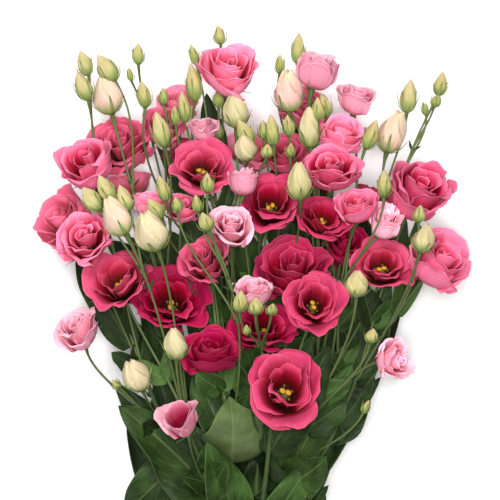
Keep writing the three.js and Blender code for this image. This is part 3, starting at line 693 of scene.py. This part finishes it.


# The inner ramps run to near black at the throat: partly its own darker colour, partly painted shade.
PETALS = {
    "deep": petal_finish(
        "petal_deep",
        [(0.0, "22040a"), (0.2, "480812"), (0.4, "800e28"), (0.62, "aa1e3e"), (0.98, "c03c62")],
        [(0.0, "a06a50"), (0.25, "9e2038"), (0.7, "b62c4c"), (0.98, "cc4a6e")],
    ),
    "mid": petal_finish(
        "petal_mid",
        [(0.0, "5c0818"), (0.35, "90122c"), (0.6, "c22c4e"), (0.82, "e05478"), (0.98, "ec7a9c")],
        [(0.0, "cfae88"), (0.25, "cc4c6a"), (0.7, "dc5278"), (0.98, "ec789a")],
    ),
    "light": petal_finish(
        "petal_light",
        [(0.0, "6c0c28"), (0.35, "9c2a4c"), (0.62, "d26482"), (0.84, "ee96b0"), (0.98, "f6b8c8")],
        [(0.0, "dcd0a4"), (0.25, "e8a0aa"), (0.7, "ec8ca6"), (0.98, "f4a6bc")],
    ),
}
BUDS = bud_finish()
STALKS = stalk_finish()
LEAVES = leaf_finish()
PISTILS = pistil_finish()
RUBBER = rubber_finish()

# ---- grids and closed surfaces ---------------------------------------------------------------------------


def add_object(name, data):
    """An object for a mesh, light or camera, in the scene."""
    item = bpy.data.objects.new(name, data)
    bpy.context.scene.collection.objects.link(item)
    return item


def unit(vectors):
    """The vectors divided by their lengths."""
    return vectors / np.maximum(np.linalg.norm(vectors, axis=-1, keepdims=True), 1e-9)


def bezier(handles, t):
    """A cubic Bezier curve: its four handles, weighted by (1-t)^3, 3(1-t)^2 t, 3(1-t) t^2 and t^3."""
    a, b, c, d = handles
    return (1 - t) ** 3 * a + 3 * (1 - t) ** 2 * t * b + 3 * (1 - t) * t**2 * c + t**3 * d


def bezier_step(handles, t):
    """The slope of that curve: the differences of the handles, weighted by 3(1-t)^2, 6(1-t) t and 3 t^2."""
    a, b, c, d = handles
    return 3 * (1 - t) ** 2 * (b - a) + 6 * (1 - t) * t * (c - b) + 3 * t**2 * (d - c)


def angles(count):
    """Angles in radians that go once round, evenly."""
    return np.linspace(0, 2 * np.pi, count, endpoint=False)


def spread_out(v, u):
    """Two arrays [1, along, across]: v repeated across, and u repeated along."""
    return [part[None] for part in np.meshgrid(v, u, indexing="ij")]


def egg(v):
    """The width of an egg at height v: sin(pi v^0.78)^0.8, which is 0 at both ends."""
    return np.sin(np.pi * v**0.78) ** 0.8


def smooth(low, high, value):
    """0 up to low, 1 from high, and 3x^2 - 2x^3 of the share in between."""
    x = np.clip((value - low) / (high - low), 0, 1)
    return x * x * (3 - 2 * x)


def aim(heading, pitch):
    """The direction at a heading from +Y towards +X and a pitch upwards, in degrees."""
    h, p = np.radians(heading), np.radians(pitch)
    return np.array([np.sin(h) * np.cos(p), np.cos(h) * np.cos(p), np.sin(p)])


def facing(axis, turn):
    """A rotation that carries +Z to axis by the shortest way, after a turn about +Z in degrees.

    It is 1 + K + K^2 / (1 + cos), with K the cross product matrix of +Z and axis.
    """
    k = np.array([[0, 0, axis[0]], [0, 0, axis[1]], [-axis[0], -axis[1], 0]])
    c, s = np.cos(np.radians(turn)), np.sin(np.radians(turn))
    return (np.eye(3) + k + k @ k / (1 + axis[2])) @ np.array([[c, -s, 0], [s, c, 0], [0, 0, 1]])


class Skin:
    """Closed surfaces gathered for one piece. place is (across, along, side) on a point's own surface."""

    def __init__(self):
        self.points = []
        self.faces = {3: [], 4: []}
        self.place = []
        self.tint = []
        self.count = 0

    def add(self, points, place, tint, **faces):
        """Takes points, what they know, and faces=triangles or quads that count from the first of them."""
        for name, corners in (("triangles", 3), ("quads", 4)):
            if name in faces:
                self.faces[corners].append(faces[name].reshape(-1, corners) + self.count)
        self.points.append(points.reshape(-1, 3))
        self.place.append(np.broadcast_to(place, points.shape).reshape(-1, 3))
        self.tint.append(np.broadcast_to(tint, points.shape[:-1]).reshape(-1))
        self.count += self.points[-1].shape[0]

    def blades(self, grid, u, v, thick, tint, along=None):
        """Thin closed blades over grid[blade, along, across], with u across and v along.

        The lower face lies behind the upper one along the normal, the cross product of the steps along and
        across, thinner towards the edge, and a strip round the edge joins the two. The points know v as
        along, and as side 0 above and 1 below. Where along is given, they know that instead, and side comes
        to 0.5 at the rim.
        """
        n, rows, cols, _ = grid.shape
        normal = unit(np.cross(np.gradient(grid, axis=1), np.gradient(grid, axis=2)))
        edge = np.maximum(np.abs(u)[None, :], v[:, None]) ** 6
        both = np.stack([grid, grid - normal * (thick * (1 - 0.6 * edge))[..., None]], axis=1)
        place = np.zeros((2, rows, cols, 3))
        place[..., 0] = u[None, None, :]
        place[..., 1] = v[None, :, None]
        place[1, ..., 2] = 1
        if along is not None:
            # side comes to 0.5 at the rim and flanks, where the petal finish paints a highlight
            flanks = smooth(0.92, 1.0, np.abs(u)) * smooth(0.3, 0.6, v)[:, None]
            rim = np.maximum(smooth(0.9, 1.0, v)[:, None], flanks)
            place[..., 2] += (0.5 - place[..., 2]) * rim
            place = np.repeat(place[None], n, axis=0)
            place[..., 1] = along[:, None]
        index = np.arange(rows * cols).reshape(rows, cols)
        size = rows * cols
        upper = np.stack([index[:-1, :-1], index[1:, :-1], index[1:, 1:], index[:-1, 1:]], axis=-1)
        upper = upper.reshape(-1, 4)
        edge_loop = np.concatenate([index[0, :-1], index[:-1, -1], index[-1, :0:-1], index[:0:-1, 0]])
        ahead = np.roll(edge_loop, -1)
        strip = np.stack([edge_loop, ahead, ahead + size, edge_loop + size], axis=-1)
        blade = np.concatenate([upper, (upper + size)[:, ::-1], strip])
        quads = blade[None] + (np.arange(n) * 2 * size)[:, None, None]
        tint = np.asarray(tint, float).reshape(-1, 1, 1, 1)
        self.add(both, place, tint, quads=quads)

    def rings(self, rings, ends, tint, third=0.0):
        """A closed skin over rings[along, round], with one point at each end. The rings turn to the right
        round the way that they follow each other, and third is what their points know as side."""
        rows, cols, _ = rings.shape
        points = np.concatenate([rings.reshape(-1, 3), ends])
        index = np.arange(rows * cols).reshape(rows, cols)
        ahead = np.roll(index, -1, axis=1)
        quads = np.stack([index[:-1], ahead[:-1], ahead[1:], index[1:]], axis=-1)
        first, last = rows * cols, rows * cols + 1
        low = np.stack([np.full(cols, first), ahead[0], index[0]], axis=-1)
        high = np.stack([np.full(cols, last), index[-1], ahead[-1]], axis=-1)
        place = np.zeros((rows * cols + 2, 3))
        place[:-2, 0] = np.tile(np.linspace(0, 1, cols, endpoint=False), rows)
        place[:-2, 1] = np.repeat(np.linspace(0, 1, rows), cols)
        place[:-2, 2] = np.broadcast_to(third, (rows, cols)).ravel()
        place[-1, 1] = 1
        self.add(points, place, tint, quads=quads, triangles=np.concatenate([low, high]))

    def tube(self, path, radius, sides, tint):
        """A closed round tube: a ring of the radius round each point of the path, square to the path."""
        step = unit(np.gradient(path, axis=0))
        across = unit(np.cross((0.0, 0.0, 1.0), step))
        up = np.cross(step, across)
        a = angles(sides)[None, :, None]
        radius = np.broadcast_to(radius, path.shape[:1])[:, None, None]
        rings = path[:, None] + radius * (np.cos(a) * across[:, None] + np.sin(a) * up[:, None])
        self.rings(rings, path[[0, -1]], tint)


def make(name, skin, material, node):
    """The skin as one object that rides on the bunch and stands for a node."""
    points = np.concatenate(skin.points)
    points[:, 2] = np.maximum(points[:, 2], FLOOR_GAP)
    faces = {corners: np.concatenate(kept) for corners, kept in skin.faces.items() if kept}
    corners = np.concatenate([f.ravel() for f in faces.values()])
    sizes = np.concatenate([np.full(len(f), c) for c, f in faces.items()])
    mesh = bpy.data.meshes.new(name)
    mesh.vertices.add(len(points))
    mesh.vertices.foreach_set("co", (points * MM + ORIGIN).ravel())
    mesh.loops.add(len(corners))
    mesh.loops.foreach_set("vertex_index", corners)
    mesh.polygons.add(len(sizes))
    mesh.polygons.foreach_set("loop_start", np.concatenate([[0], np.cumsum(sizes)[:-1]]))
    mesh.polygons.foreach_set("use_smooth", np.ones(len(sizes), bool))
    mesh.update(calc_edges=True)
    place = mesh.attributes.new("place", "FLOAT_VECTOR", "POINT")
    place.data.foreach_set("vector", np.concatenate(skin.place).ravel())
    tint = mesh.attributes.new("tint", "FLOAT", "POINT")
    tint.data.foreach_set("value", np.concatenate(skin.tint))
    mesh.materials.append(material)
    item = add_object(name, mesh)
    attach(item, "root")
    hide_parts(node)


# ---- petals, sepals, buds and pistils --------------------------------------------------------------------


def petals(skin, draw, data, radius, place, glow):
    """One set of petals. place carries points from the bloom's frame, +Z out of its mouth, to the bunch's.

    A petal is a grid: u from -1 to 1 across and v from 0 at its base to 1 at its rim, both closer together
    towards the edges. It ends at t = v times a top that drops with |u|^2.8. (distance from the axis, height)
    is a Bezier curve at t, and the angle round the axis is u times its half angle. Off the curve it is pushed
    along the inner normal: one side lies outside its neighbour and the other inside, waves grow towards the
    rim, and the rim and the sides roll outwards. glow is how light the bloom is, and along tells the share of
    the bloom's height or, where that is more, of its width.
    """
    n, turn, (wide_first, wide_last), (rounding, wave, roll), (rows, cols), first, last = data
    v = 1 - (1 - np.linspace(0, 1, rows)) ** 1.4
    u = np.sin(np.pi / 2 * np.linspace(-1, 1, cols))
    V, U = spread_out(v, u)
    share = np.linspace(0, 1, n)[:, None, None]

    def vary(amount, middle=0.0):
        """A number for each petal, at random within amount of the middle."""
        return middle + amount * draw.uniform(-1, 1, (n, 1, 1))

    handles = np.array(first)[:, None] * (1 - share[:, 0]) + np.array(last)[:, None] * share[:, 0]
    handles = handles + draw.normal(0, 1, handles.shape) * np.array([0, 0.012, 0.03, 0.04])[:, None, None]
    handles = handles[:, :, None, None, :]
    ripple = 0.06 * np.sin(vary(0.6, 1.8) * U + vary(3.1))
    ripple = ripple + 0.045 * np.sin(vary(1.5, 6.0) * U + vary(3.1)) * np.abs(U)
    notch = 0.014 * np.sin(vary(3.0, 15.0) * U + vary(3.1))
    t = V * (1 - rounding * vary(0.3, 1.0) * np.abs(U) ** 2.8 + (ripple + notch) * V**2) * vary(0.07, 1.0)
    flat = bezier(handles, t[..., None])
    step = unit(bezier_step(handles, t[..., None]))
    span = wide_first * (1 - share) + wide_last * share
    edge = np.maximum(smooth(0.8, 1.0, V), smooth(0.72, 1.0, np.abs(U)) * smooth(0.25, 0.7, V))
    lift = -0.05 * U * (0.3 + 0.7 * t)
    lift = lift + vary(0.09) * (U**2 - 0.35) * t + vary(0.06) * U * t**2
    lift = lift + wave * t**3 * np.sin(vary(0.9, 3.4) * U + vary(3.1)) * (0.4 + 0.6 * np.abs(U))
    lift = lift + 0.4 * wave * t**5 * np.sin(vary(2.0, 9.0) * U + vary(3.1))
    lift = lift - roll * vary(0.5, 1.0) * edge**2 * (0.6 + 0.4 * np.sin(vary(1.0, 3.0) * U + vary(3.1)))
    away = flat[..., 0] - step[..., 1] * lift - 0.4 * roll * edge**3 * step[..., 0]
    high = flat[..., 1] + step[..., 0] * lift - 0.4 * roll * edge**3 * step[..., 1]
    angle = np.radians(turn) * np.arange(n)[:, None, None] + vary(0.14) + U * span * vary(0.1, 1.0)
    angle = angle + vary(0.12) * t
    angle = angle + draw.uniform(0, 2 * np.pi)
    grid = radius * np.stack([away * np.cos(angle), away * np.sin(angle), high], axis=-1)
    foot = handles[0, ..., 1]
    # along sets the petal colours, which darken towards the depth of the bloom partly as painted shade
    along = np.maximum(np.clip((high - foot) / (0.2 - foot), 0, 1), smooth(0.35, 0.85, away))
    tint = glow + draw.uniform(-0.15, 0.15, n)
    skin.blades(place(grid), u, v, PETAL_THICK, tint, along)


def sepals(skin, draw, width, path, place, spread, tint):
    """Needle-like sepals. path(v) gives (distance from the axis, height) from the foot at 0 to the tip at 1.

    The blade is square to its own plane through the axis, its half width falls with (1 - v)^0.6, and its
    midrib stands out as a keel. Each tip bends outwards by a random share of spread, as v^4.
    """
    rows, cols = SEPAL_GRID
    v = np.linspace(0, 1, rows)
    u = np.linspace(-1, 1, cols)
    V, U = spread_out(v, u)
    angle = (np.arange(SEPALS) * 2 * np.pi / SEPALS + draw.uniform(0, 2 * np.pi))[:, None, None]
    angle = angle + draw.uniform(-0.2, 0.2, (SEPALS, 1, 1))
    flat = path(V * draw.uniform(0.85, 1.05, (SEPALS, 1, 1)))
    keel = 0.35 * width * (1 - np.abs(U)) * (1 - V)
    out = flat[0] + keel + spread * V**4 * draw.uniform(0.2, 1.2, (SEPALS, 1, 1))
    side = width / 2 * U * (1 - V + 0.04) ** 0.6
    x = out * np.cos(angle) - side * np.sin(angle)
    y = out * np.sin(angle) + side * np.cos(angle)
    grid = np.stack([x, y, flat[1] + 0 * x], axis=-1)
    skin.blades(place(grid)[:, :, ::-1], u, v, SEPAL_THICK, tint)


def bud(cream, green, draw, foot, axis, width, length, ripe):
    """A closed bud: five petals folded round each other in a spiral, in five sepals.

    The distance from the axis is half the width times egg(v). Each of the five folds makes it grow round the
    bud and step back, the fold's line turns as it rises, and the sides bulge unevenly. Large buds end
    bluntly, with a ragged rim. The sepals hug the same egg, and cover more of the length in small buds.
    """
    rows, cols = BUD_GRIDS["large" if width > LARGE_BUD else "small"]
    v = np.linspace(0.02, 0.985, rows)[:, None]
    a = angles(cols)[None, :]
    blunt = np.clip((width - LARGE_BUD) / 8, 0, 1) * draw.uniform(0.5, 1.0)
    body = egg(v * (1 - 0.1 * blunt)) * (1 - 0.12 * v)
    phase = draw.uniform(0, 1)
    line = 5 * a / (2 * np.pi) + draw.uniform(0.9, 1.6) * v + 0.12 * np.sin(2 * a + 6 * phase)
    fold = np.mod(line + phase, 1.0)
    crease = fold**1.6 - 0.4
    bulge = 0.05 * np.sin(2 * a + 7 * phase + 2 * v) + 0.03 * np.sin(3 * a + 11 * phase - 4 * v)
    reach = width / 2 * body * (0.98 + (0.08 + 0.24 * v) * crease * np.sin(np.pi * v) ** 0.5 + bulge)
    turn = facing(axis, draw.uniform(0, 360))
    lean = draw.uniform(-0.1, 0.1, 2) * length
    x = reach * np.cos(a) + lean[0] * v**2
    y = reach * np.sin(a) + lean[1] * v**2
    rings = np.stack([x, y, v * length * (1 + 0.14 * blunt * crease * v**4)], axis=-1)
    ends = np.array([[0, 0, 0], [lean[0], lean[1], length * (1 - 0.04 * blunt)]])

    def place(points):
        return points @ turn.T + foot

    cream.rings(place(rings), place(ends), ripe, fold)
    covered = 0.86 if width < 12 else 0.7 if width < 19 else 0.5

    def path(t):
        rise = t * covered
        hug = egg(np.clip(rise, 0.0, 1.0)) * (1 - 0.12 * rise)
        return 0.45 + width / 2 * (hug * 1.06 + 0.08 * t**4), rise * length

    sepals(green, draw, 1.6 + 0.08 * width, path, place, 0.32 * width, 2.0)


def bloom(petal_skin, green, heart, draw, form, middle, axis, radius, number, glow):
    """One bloom: its sets of petals from the outside in, its sepals and, in an open one, the pistil.

    axis is the way that it looks, and middle the middle of its mouth. The whole bloom is squeezed from two
    sides and bent like a saddle, each by a random share.
    """
    turn = facing(axis, GOLDEN * number)
    foot = FORMS[form]["foot"]
    squeeze, warp, phase = draw.uniform(0.05, 0.18), draw.uniform(0.1, 0.26), draw.uniform(0, 2 * np.pi)

    def place(points):
        out = (points[..., 0] * np.cos(phase) + points[..., 1] * np.sin(phase)) / radius
        side = (points[..., 1] * np.cos(phase) - points[..., 0] * np.sin(phase)) / radius
        along = np.stack([np.cos(phase) + 0 * out, np.sin(phase) + 0 * out, 0 * out], axis=-1)
        bent = points - squeeze * radius * out[..., None] * along
        bent[..., 2] += warp * radius * (out**2 - side**2) * 0.5
        return bent @ turn.T + middle

    for data in FORMS[form]["sets"]:
        petals(petal_skin, draw, data, radius, place, glow)

    def path(t):
        out = (0.12 + 0.66 * t**0.6 + 0.16 * t**3) * radius
        return out, (foot + 0.02 + 0.5 * t**1.5) * radius

    sepals(green, draw, 1.8, path, place, 0.2 * radius, 1.2)
    if form in ("open", "single", "trumpet"):
        pistil(heart, draw, radius, foot, place)


def ball(skin, centre, size, place, tint):
    """A rounded lump: a sphere of rings stretched to size."""
    lat = np.linspace(-np.pi / 2, np.pi / 2, 8)[1:-1, None]
    lon = angles(10)[None, :]
    rings = np.stack([np.cos(lat) * np.cos(lon), np.cos(lat) * np.sin(lon), np.sin(lat) + 0 * lon], axis=-1)
    ends = np.array([[0, 0, -1.0], [0, 0, 1.0]])
    skin.rings(place(rings * size + centre), place(ends * size + centre), tint)


def pistil(skin, draw, radius, foot, place):
    """The style with its two stigma lobes, over the round ovary, and anthers on thin filaments."""
    top = (foot + 0.44) * radius
    ball(skin, (0, 0, (foot + 0.2) * radius), np.array(PISTIL["ovary"]) * radius, place, 0.2)
    stalk = np.linspace((foot + 0.2) * radius, top, 6)
    path = np.stack([0 * stalk, 0 * stalk, stalk], axis=-1)
    skin.tube(place(path + 1e-4 * stalk[:, None] * (1, 0, 0)), PISTIL["style"] * radius, 8, 0.3)
    a = draw.uniform(0, np.pi)
    for way in (-1, 1):
        lobe = np.array([np.cos(a), np.sin(a), 0]) * way * 0.085 * radius
        ball(skin, lobe + (0, 0, top), np.array(PISTIL["lobe"]) * radius, place, 1.0)
    for k in range(PISTIL["anthers"]):
        b = a + 2 * np.pi * k / PISTIL["anthers"] + draw.uniform(-0.2, 0.2)
        tip = np.array([0.2 * np.cos(b), 0.2 * np.sin(b), foot + 0.3 + draw.uniform(-0.05, 0.05)]) * radius
        t = np.linspace(0, 1, 5)[:, None]
        root = np.array([0.1 * np.cos(b), 0.1 * np.sin(b), foot + 0.1]) * radius
        skin.tube(place(root + (tip - root) * t), PISTIL["filament"] * radius, 5, 0.3)
        ball(skin, tip, np.array(PISTIL["anther"]) * radius, place, 0.7)


# ---- stalks and leaves -----------------------------------------------------------------------------------


def leaf(skin, draw, seat, tip, width, arch, tilt, tint, kind="paired", belly=0.85):
    """A smooth ovate leaf on a curve from seat to tip with its middle raised by arch.

    Its half width is a narrow seat plus sin(pi (0.06 + 0.94 v^belly))^0.8, its sides rise from the midrib
    like a trough, one more than the other, its margin waves, it is turned about its midrib by tilt and
    twists a little more on its way, and its tip bends down or up. tint is how light it is, and painted shade
    makes it darker the deeper its middle lies below the height PAINTED_SHADE_HEIGHT. kind is its grid in
    LEAF_GRIDS.
    """
    rows, cols = LEAF_GRIDS[kind]
    v = np.linspace(0, 1, rows)
    u = np.linspace(-1, 1, cols)
    length = np.linalg.norm(tip - seat)
    sway = draw.uniform(-0.09, 0.09) * length
    middle = (seat + tip) / 2 + (sway, 0, arch)
    V, U = v[:, None, None], u[None, :, None]
    line = (1 - V) ** 2 * seat + 2 * (1 - V) * V * middle + V**2 * tip
    along = unit((1 - V) * (middle - seat) + V * (tip - middle))
    flat = unit(np.cross((0.0, 0.0, 1.0), along))
    up = np.cross(along, flat)
    roll = np.radians(tilt + draw.uniform(-22, 22) * V**2)
    across = np.cos(roll) * flat + np.sin(roll) * up
    up = np.cross(along, across)
    body = np.sin(np.pi * (0.06 + 0.94 * V**belly)) ** 0.8
    uneven = 1 + 0.05 * np.sin(9 * V + draw.uniform(0, 6)) * U
    half = width / 2 * (0.2 * (1 - V) ** 2 + 0.86 * body) * uneven
    wave = np.sin(2 * np.pi * draw.uniform(0.8, 2.0) * V + draw.uniform(0, 6) + 1.5 * U)
    waves = 0.06 * length * U**2 * wave
    curl = draw.uniform(-0.16, 0.05) * length * V**3
    trough = draw.uniform(0.1, 0.4) * half * np.abs(U) ** 1.5 * (1 + draw.uniform(-0.6, 0.6) * U)
    rise = trough + waves * np.sin(np.pi * V) ** 0.5 + curl - 0.25 * np.exp(-((U / 0.07) ** 2))
    grid = line + across * U * half + up * rise
    # painted shade: the lower the leaf's middle lies, the darker it is
    deep = 1 - np.clip((seat[2] + tip[2]) / 2 / PAINTED_SHADE_HEIGHT, 0, 1)
    skin.blades(grid[None], u, v, LEAF_THICK, tint - 0.85 * deep)


class Branch:
    """A stem or stalk along a cubic Bezier curve: where it is, and which way it goes, at a share of it."""

    def __init__(self, *handles):
        self.handles = [np.array(handle, float) for handle in handles]

    def at(self, share):
        return bezier(self.handles, share)

    def way(self, share):
        return unit(bezier_step(self.handles, share))

    def points(self, count):
        return self.at(np.linspace(0, 1, count)[:, None])


def stalk(parent, share, end, axis, bow_x=0, bow_z=0):
    """A stalk leaves its fork midway between its parent's way and its own, and arrives along axis."""
    start = parent.at(share)
    reach = STALK["reach"] * np.linalg.norm(end - start)
    leave = unit(parent.way(share) + unit(end - start))
    bow = np.array([bow_x, 0, bow_z])
    return Branch(start, start + leave * reach + bow, end - axis * reach + bow, end)


def leaf_pair(skin, draw, branch, share, length, roll):
    """Two leaves opposite each other on a stem, turned round it by roll, and never below the surface."""
    seat, way = branch.at(share), branch.way(share)
    side = unit(np.cross(way, (0.0, 0.0, 1.0)))
    out = np.cos(np.radians(roll)) * side + np.sin(np.radians(roll)) * np.cross(side, way)
    for sign in (-1, 1):
        size = length * draw.uniform(0.85, 1.15)
        tip = seat + size * (draw.uniform(0.62, 0.85) * way + sign * draw.uniform(0.4, 0.65) * out)
        tip = np.clip(tip, *PAIR_ROOM)
        tilt = draw.uniform(-25, 25)
        width, arch = size * draw.uniform(0.45, 0.68), draw.uniform(2, 9)
        leaf(skin, draw, seat, tip, width, arch, tilt, draw.uniform(0, 1))


def bracts(skin, draw, branch, size):
    """A pair of small pointed bracts, one on each side of a stalk near its fork."""
    seat = branch.at(0.04)
    way = branch.way(0.04)
    side = unit(np.cross(way, draw.normal(0, 1, 3)))
    for sign in (-1, 1):
        tip = seat + size * (0.75 * way + sign * 0.65 * side)
        leaf(skin, draw, seat, tip, size * 0.26, 0.05 * size, 20 * sign, 0.3, "bract")


def carry(green, leaves, draw, kind, branch, top, flare, last):
    """The skin of a bloom's or bud's stalk and its two bracts.

    Its radius goes evenly from the start's to the end's, plus flare times t^16 under the calyx, and is last
    at top, a point inside the bloom or bud.
    """
    sort = STALKS_OF[kind]
    t = np.linspace(0, 1, sort["points"])
    path = np.concatenate([branch.points(sort["points"]), [top]])
    thick = sort["start"] + (STALK["end"] - sort["start"]) * t + flare * t**16
    green.tube(path, np.append(thick, last), sort["sides"], sort["tint"])
    bracts(leaves, draw, branch, draw.uniform(*sort["bracts"]))


def main_stem(green, slot, crown):
    """The skin of a stem below and above the band, and its upper part as a branch, which stalks grow from.

    It passes straight through its slot in the band. It gets evenly thinner from its foot to its crown, and
    swells a little at each of its knots.
    """
    distance, angle = slot[0], np.radians(slot[1])
    start = np.array([distance * np.cos(angle), 0, BAND_AXIS + distance * np.sin(angle)])
    end = np.array(crown, float)
    reach = STEM["reach"] * np.linalg.norm(end - start)
    main = Branch(start, start + (0, reach, 0), end - unit(end - start) * reach, end)
    off_axis = np.array([start[0], 0, start[2] - BAND_AXIS])
    foot = start + (off_axis[0] * TAIL["spread"], -TAIL["length"], off_axis[2] * TAIL["rise"])
    tail = Branch(foot, foot + (0, TAIL["length"] / 3, 0), start - (0, TAIL["length"] / 3, 0), start)
    line = np.concatenate([tail.points(STEM_GRID["tail"])[:-1], main.points(STEM_GRID["main"])])
    share = np.linspace(0, 1, len(line))
    knots = np.arange(KNOTS["first"], 1, KNOTS["apart"])
    swell = sum(np.exp(-(((share - knot) / KNOTS["width"]) ** 2)) for knot in knots)
    thick = STEM["foot"] + (STEM["crown"] - STEM["foot"]) * share + KNOTS["height"] * swell
    green.tube(line, thick, STEM_GRID["sides"], 0.0)
    return main


def grow(name, data):
    """One stem: the petals of each bloom are a piece, and so are its stalks, its leaves, its buds and its
    pistils."""
    number = int(name[-2:])
    draw = np.random.default_rng(FIRST_SEED + number)
    green, leaves, cream, heart = Skin(), Skin(), Skin(), Skin()
    main = main_stem(green, data["slot"], data["crown"])
    stalks = []

    def fork(spec):
        """The branch and the share of it that a table entry means."""
        return (stalks[spec[0]], spec[1]) if isinstance(spec, tuple) else (main, spec)

    for node, form, tone, glow, x, y, z, radius, heading, pitch, spec, *bow in data["blooms"]:
        axis = aim(heading, pitch)
        middle = np.array([x, y, z], float)
        foot = middle + axis * radius * FORMS[form]["foot"]
        stalks.append(stalk(*fork(spec), foot, axis, *bow))
        top = foot + axis * 0.1 * radius
        carry(green, leaves, draw, "bloom", stalks[-1], top, 0.12 * radius, 0.16 * radius)
        skin = Skin()
        which = int(node[-2:])
        bloom(skin, green, heart, np.random.default_rng(which), form, middle, axis, radius, which, glow)
        make(f"petals_{which:02d}", skin, PETALS[tone], node)

    for x, y, z, width, length, heading, pitch, ripe, spec, *bow in data["buds"]:
        axis = aim(heading, pitch)
        foot = np.array([x, y, z]) - axis * length / 2
        stalks.append(stalk(*fork(spec), foot, axis, *bow))
        top = foot + axis * 0.06 * length
        carry(green, leaves, draw, "bud", stalks[-1], top, 0.06 * width, 0.11 * width + 0.6)
        bud(cream, green, draw, foot, axis, width, length, ripe)

    for k, at in enumerate(data["pairs"]):
        long, roll = draw.uniform(*PAIR_LENGTHS["stem"]), (-45, 50)[k % 2] + draw.uniform(-20, 20)
        leaf_pair(leaves, draw, main, at, long, roll)
    for branch in stalks[: len(data["blooms"]) : 2]:
        at, long, roll = draw.uniform(0.1, 0.4), draw.uniform(*PAIR_LENGTHS["stalk"]), draw.uniform(-60, 60)
        leaf_pair(leaves, draw, branch, at, long, roll)
    for spec, x, y, z, width, arch, tilt, *belly in data["leaves"]:
        parent, at = fork(spec)
        tip = np.array([x, y, z], float)
        leaf(leaves, draw, parent.at(at), tip, width, arch, tilt, draw.uniform(0, 1), "large", *belly)

    make(f"stalks_{number:02d}", green, STALKS, name)
    make(f"leaves_{number:02d}", leaves, LEAVES, name)
    make(f"buds_{number:02d}", cream, BUDS, name)
    if heart.count:
        make(f"pistils_{number:02d}", heart, PISTILS, name)


def wind_band():
    """The rubber band: one strand wound several times round the stems, with a flattened oval section.

    The strand moves sideways as it goes round, and on top it crosses back over the others.
    """
    count, sides = BAND_GRID["points"], BAND_GRID["sides"]
    turns, strand, wall = BAND["turns"], BAND["strand"], BAND["wall"]
    s = np.linspace(0, 1, count, endpoint=False)
    back = smooth(BAND_CROSSING, 1.0, s)
    shift = np.where(s < BAND_CROSSING, s / BAND_CROSSING - 0.5, 0.5 - back)
    side = (BAND["width"] - strand) * shift
    hop = np.sin(np.pi * np.clip((s - 0.9) / 0.1, 0, 1)) ** 2 * wall
    a = 2 * np.pi * turns * s + np.pi / 2
    out = np.stack([np.cos(a), 0 * a, np.sin(a)], axis=-1)
    line = out * (BAND["inner"] + wall / 2 + hop)[:, None]
    line = line + np.stack([0 * a, side, 0 * a + BAND_AXIS], axis=-1)
    b = angles(sides)[None, :, None]
    section_out = wall / 2 * np.sign(np.cos(b)) * np.abs(np.cos(b)) ** 0.6
    section_side = strand / 2 * np.sign(np.sin(b)) * np.abs(np.sin(b)) ** 0.6
    rings = line[:, None] + section_out * out[:, None] + section_side * np.array([0.0, 1.0, 0.0])
    index = np.arange(count * sides).reshape(count, sides)
    ahead = np.roll(index, -1, axis=1)
    quads = np.stack([index, ahead, np.roll(ahead, -1, axis=0), np.roll(index, -1, axis=0)], axis=-1)
    place = np.zeros(rings.shape)
    place[..., 0] = b[..., 0] / (2 * np.pi)
    place[..., 1] = s[:, None]
    skin = Skin()
    skin.add(rings, place, 0.0, quads=quads)
    make("rubber_band", skin, RUBBER, "band")


# ---- camera, floor and light -----------------------------------------------------------------------------
# The camera is at a height over the point in the middle of its view, which is so wide at that distance.
VIEW = {"middle": (-1.8, 360.0), "height": 3190.0, "distance": 3080.0, "width": 450.0, "sensor": 36.0}
LAMPS = {  # in metres and watts
    "main_light": {"place": (-0.4, 1.2, 2.7), "target": (0, 0.15, 0), "size": 0.7, "power": 52},
    "overhead": {"place": (0.05, 0.15, 3.4), "target": (0, 0.15, 0), "size": 0.7, "power": 104},
}
FLOOR = {"half": 4.0, "glow": 0.12}
WORLD_LIGHT = 0.16


def look_down():
    """The camera, straight above the flower heads, with +Y at the top of the image."""
    data = bpy.data.cameras.new("camera")
    data.sensor_width = VIEW["sensor"]
    data.lens = VIEW["sensor"] * VIEW["distance"] / VIEW["width"]
    item = add_object("camera", data)
    item.location = ORIGIN + np.array([*VIEW["middle"], VIEW["height"]]) * MM
    bpy.context.scene.camera = item


def lamp(name, place, target, size, power):
    """A square soft light at place that shines on target, in metres and watts."""
    data = bpy.data.lights.new(name, "AREA")
    data.size = size
    data.energy = power
    item = add_object(name, data)
    item.location = place
    item.rotation_euler = (Vector(target) - Vector(place)).to_track_quat("-Z", "Y").to_euler()


def set_stage():
    """A wide white floor, a soft light overhead, a weaker one from beyond the flower heads and a dim white
    world."""
    half = FLOOR["half"]
    mesh = bpy.data.meshes.new("floor")
    corners = [(-half, -half, 0), (half, -half, 0), (half, half, 0), (-half, half, 0)]
    mesh.from_pydata(corners, [], [(0, 1, 2, 3)])
    mesh.materials.append(floor_finish())
    add_object("floor", mesh)
    for name, light in LAMPS.items():
        lamp(name, **light)
    world = bpy.data.worlds.new("studio")
    world.use_nodes = True
    sky = world.node_tree.nodes["Background"].inputs
    sky["Color"].default_value = (1, 1, 1, 1)
    sky["Strength"].default_value = WORLD_LIGHT
    bpy.context.scene.world = world
    bpy.context.scene.view_settings.view_transform = "Standard"


# ---- the bunch -------------------------------------------------------------------------------------------
look_down()
for stem, contents in STEMS.items():
    grow(stem, contents)
wind_band()
set_stage()
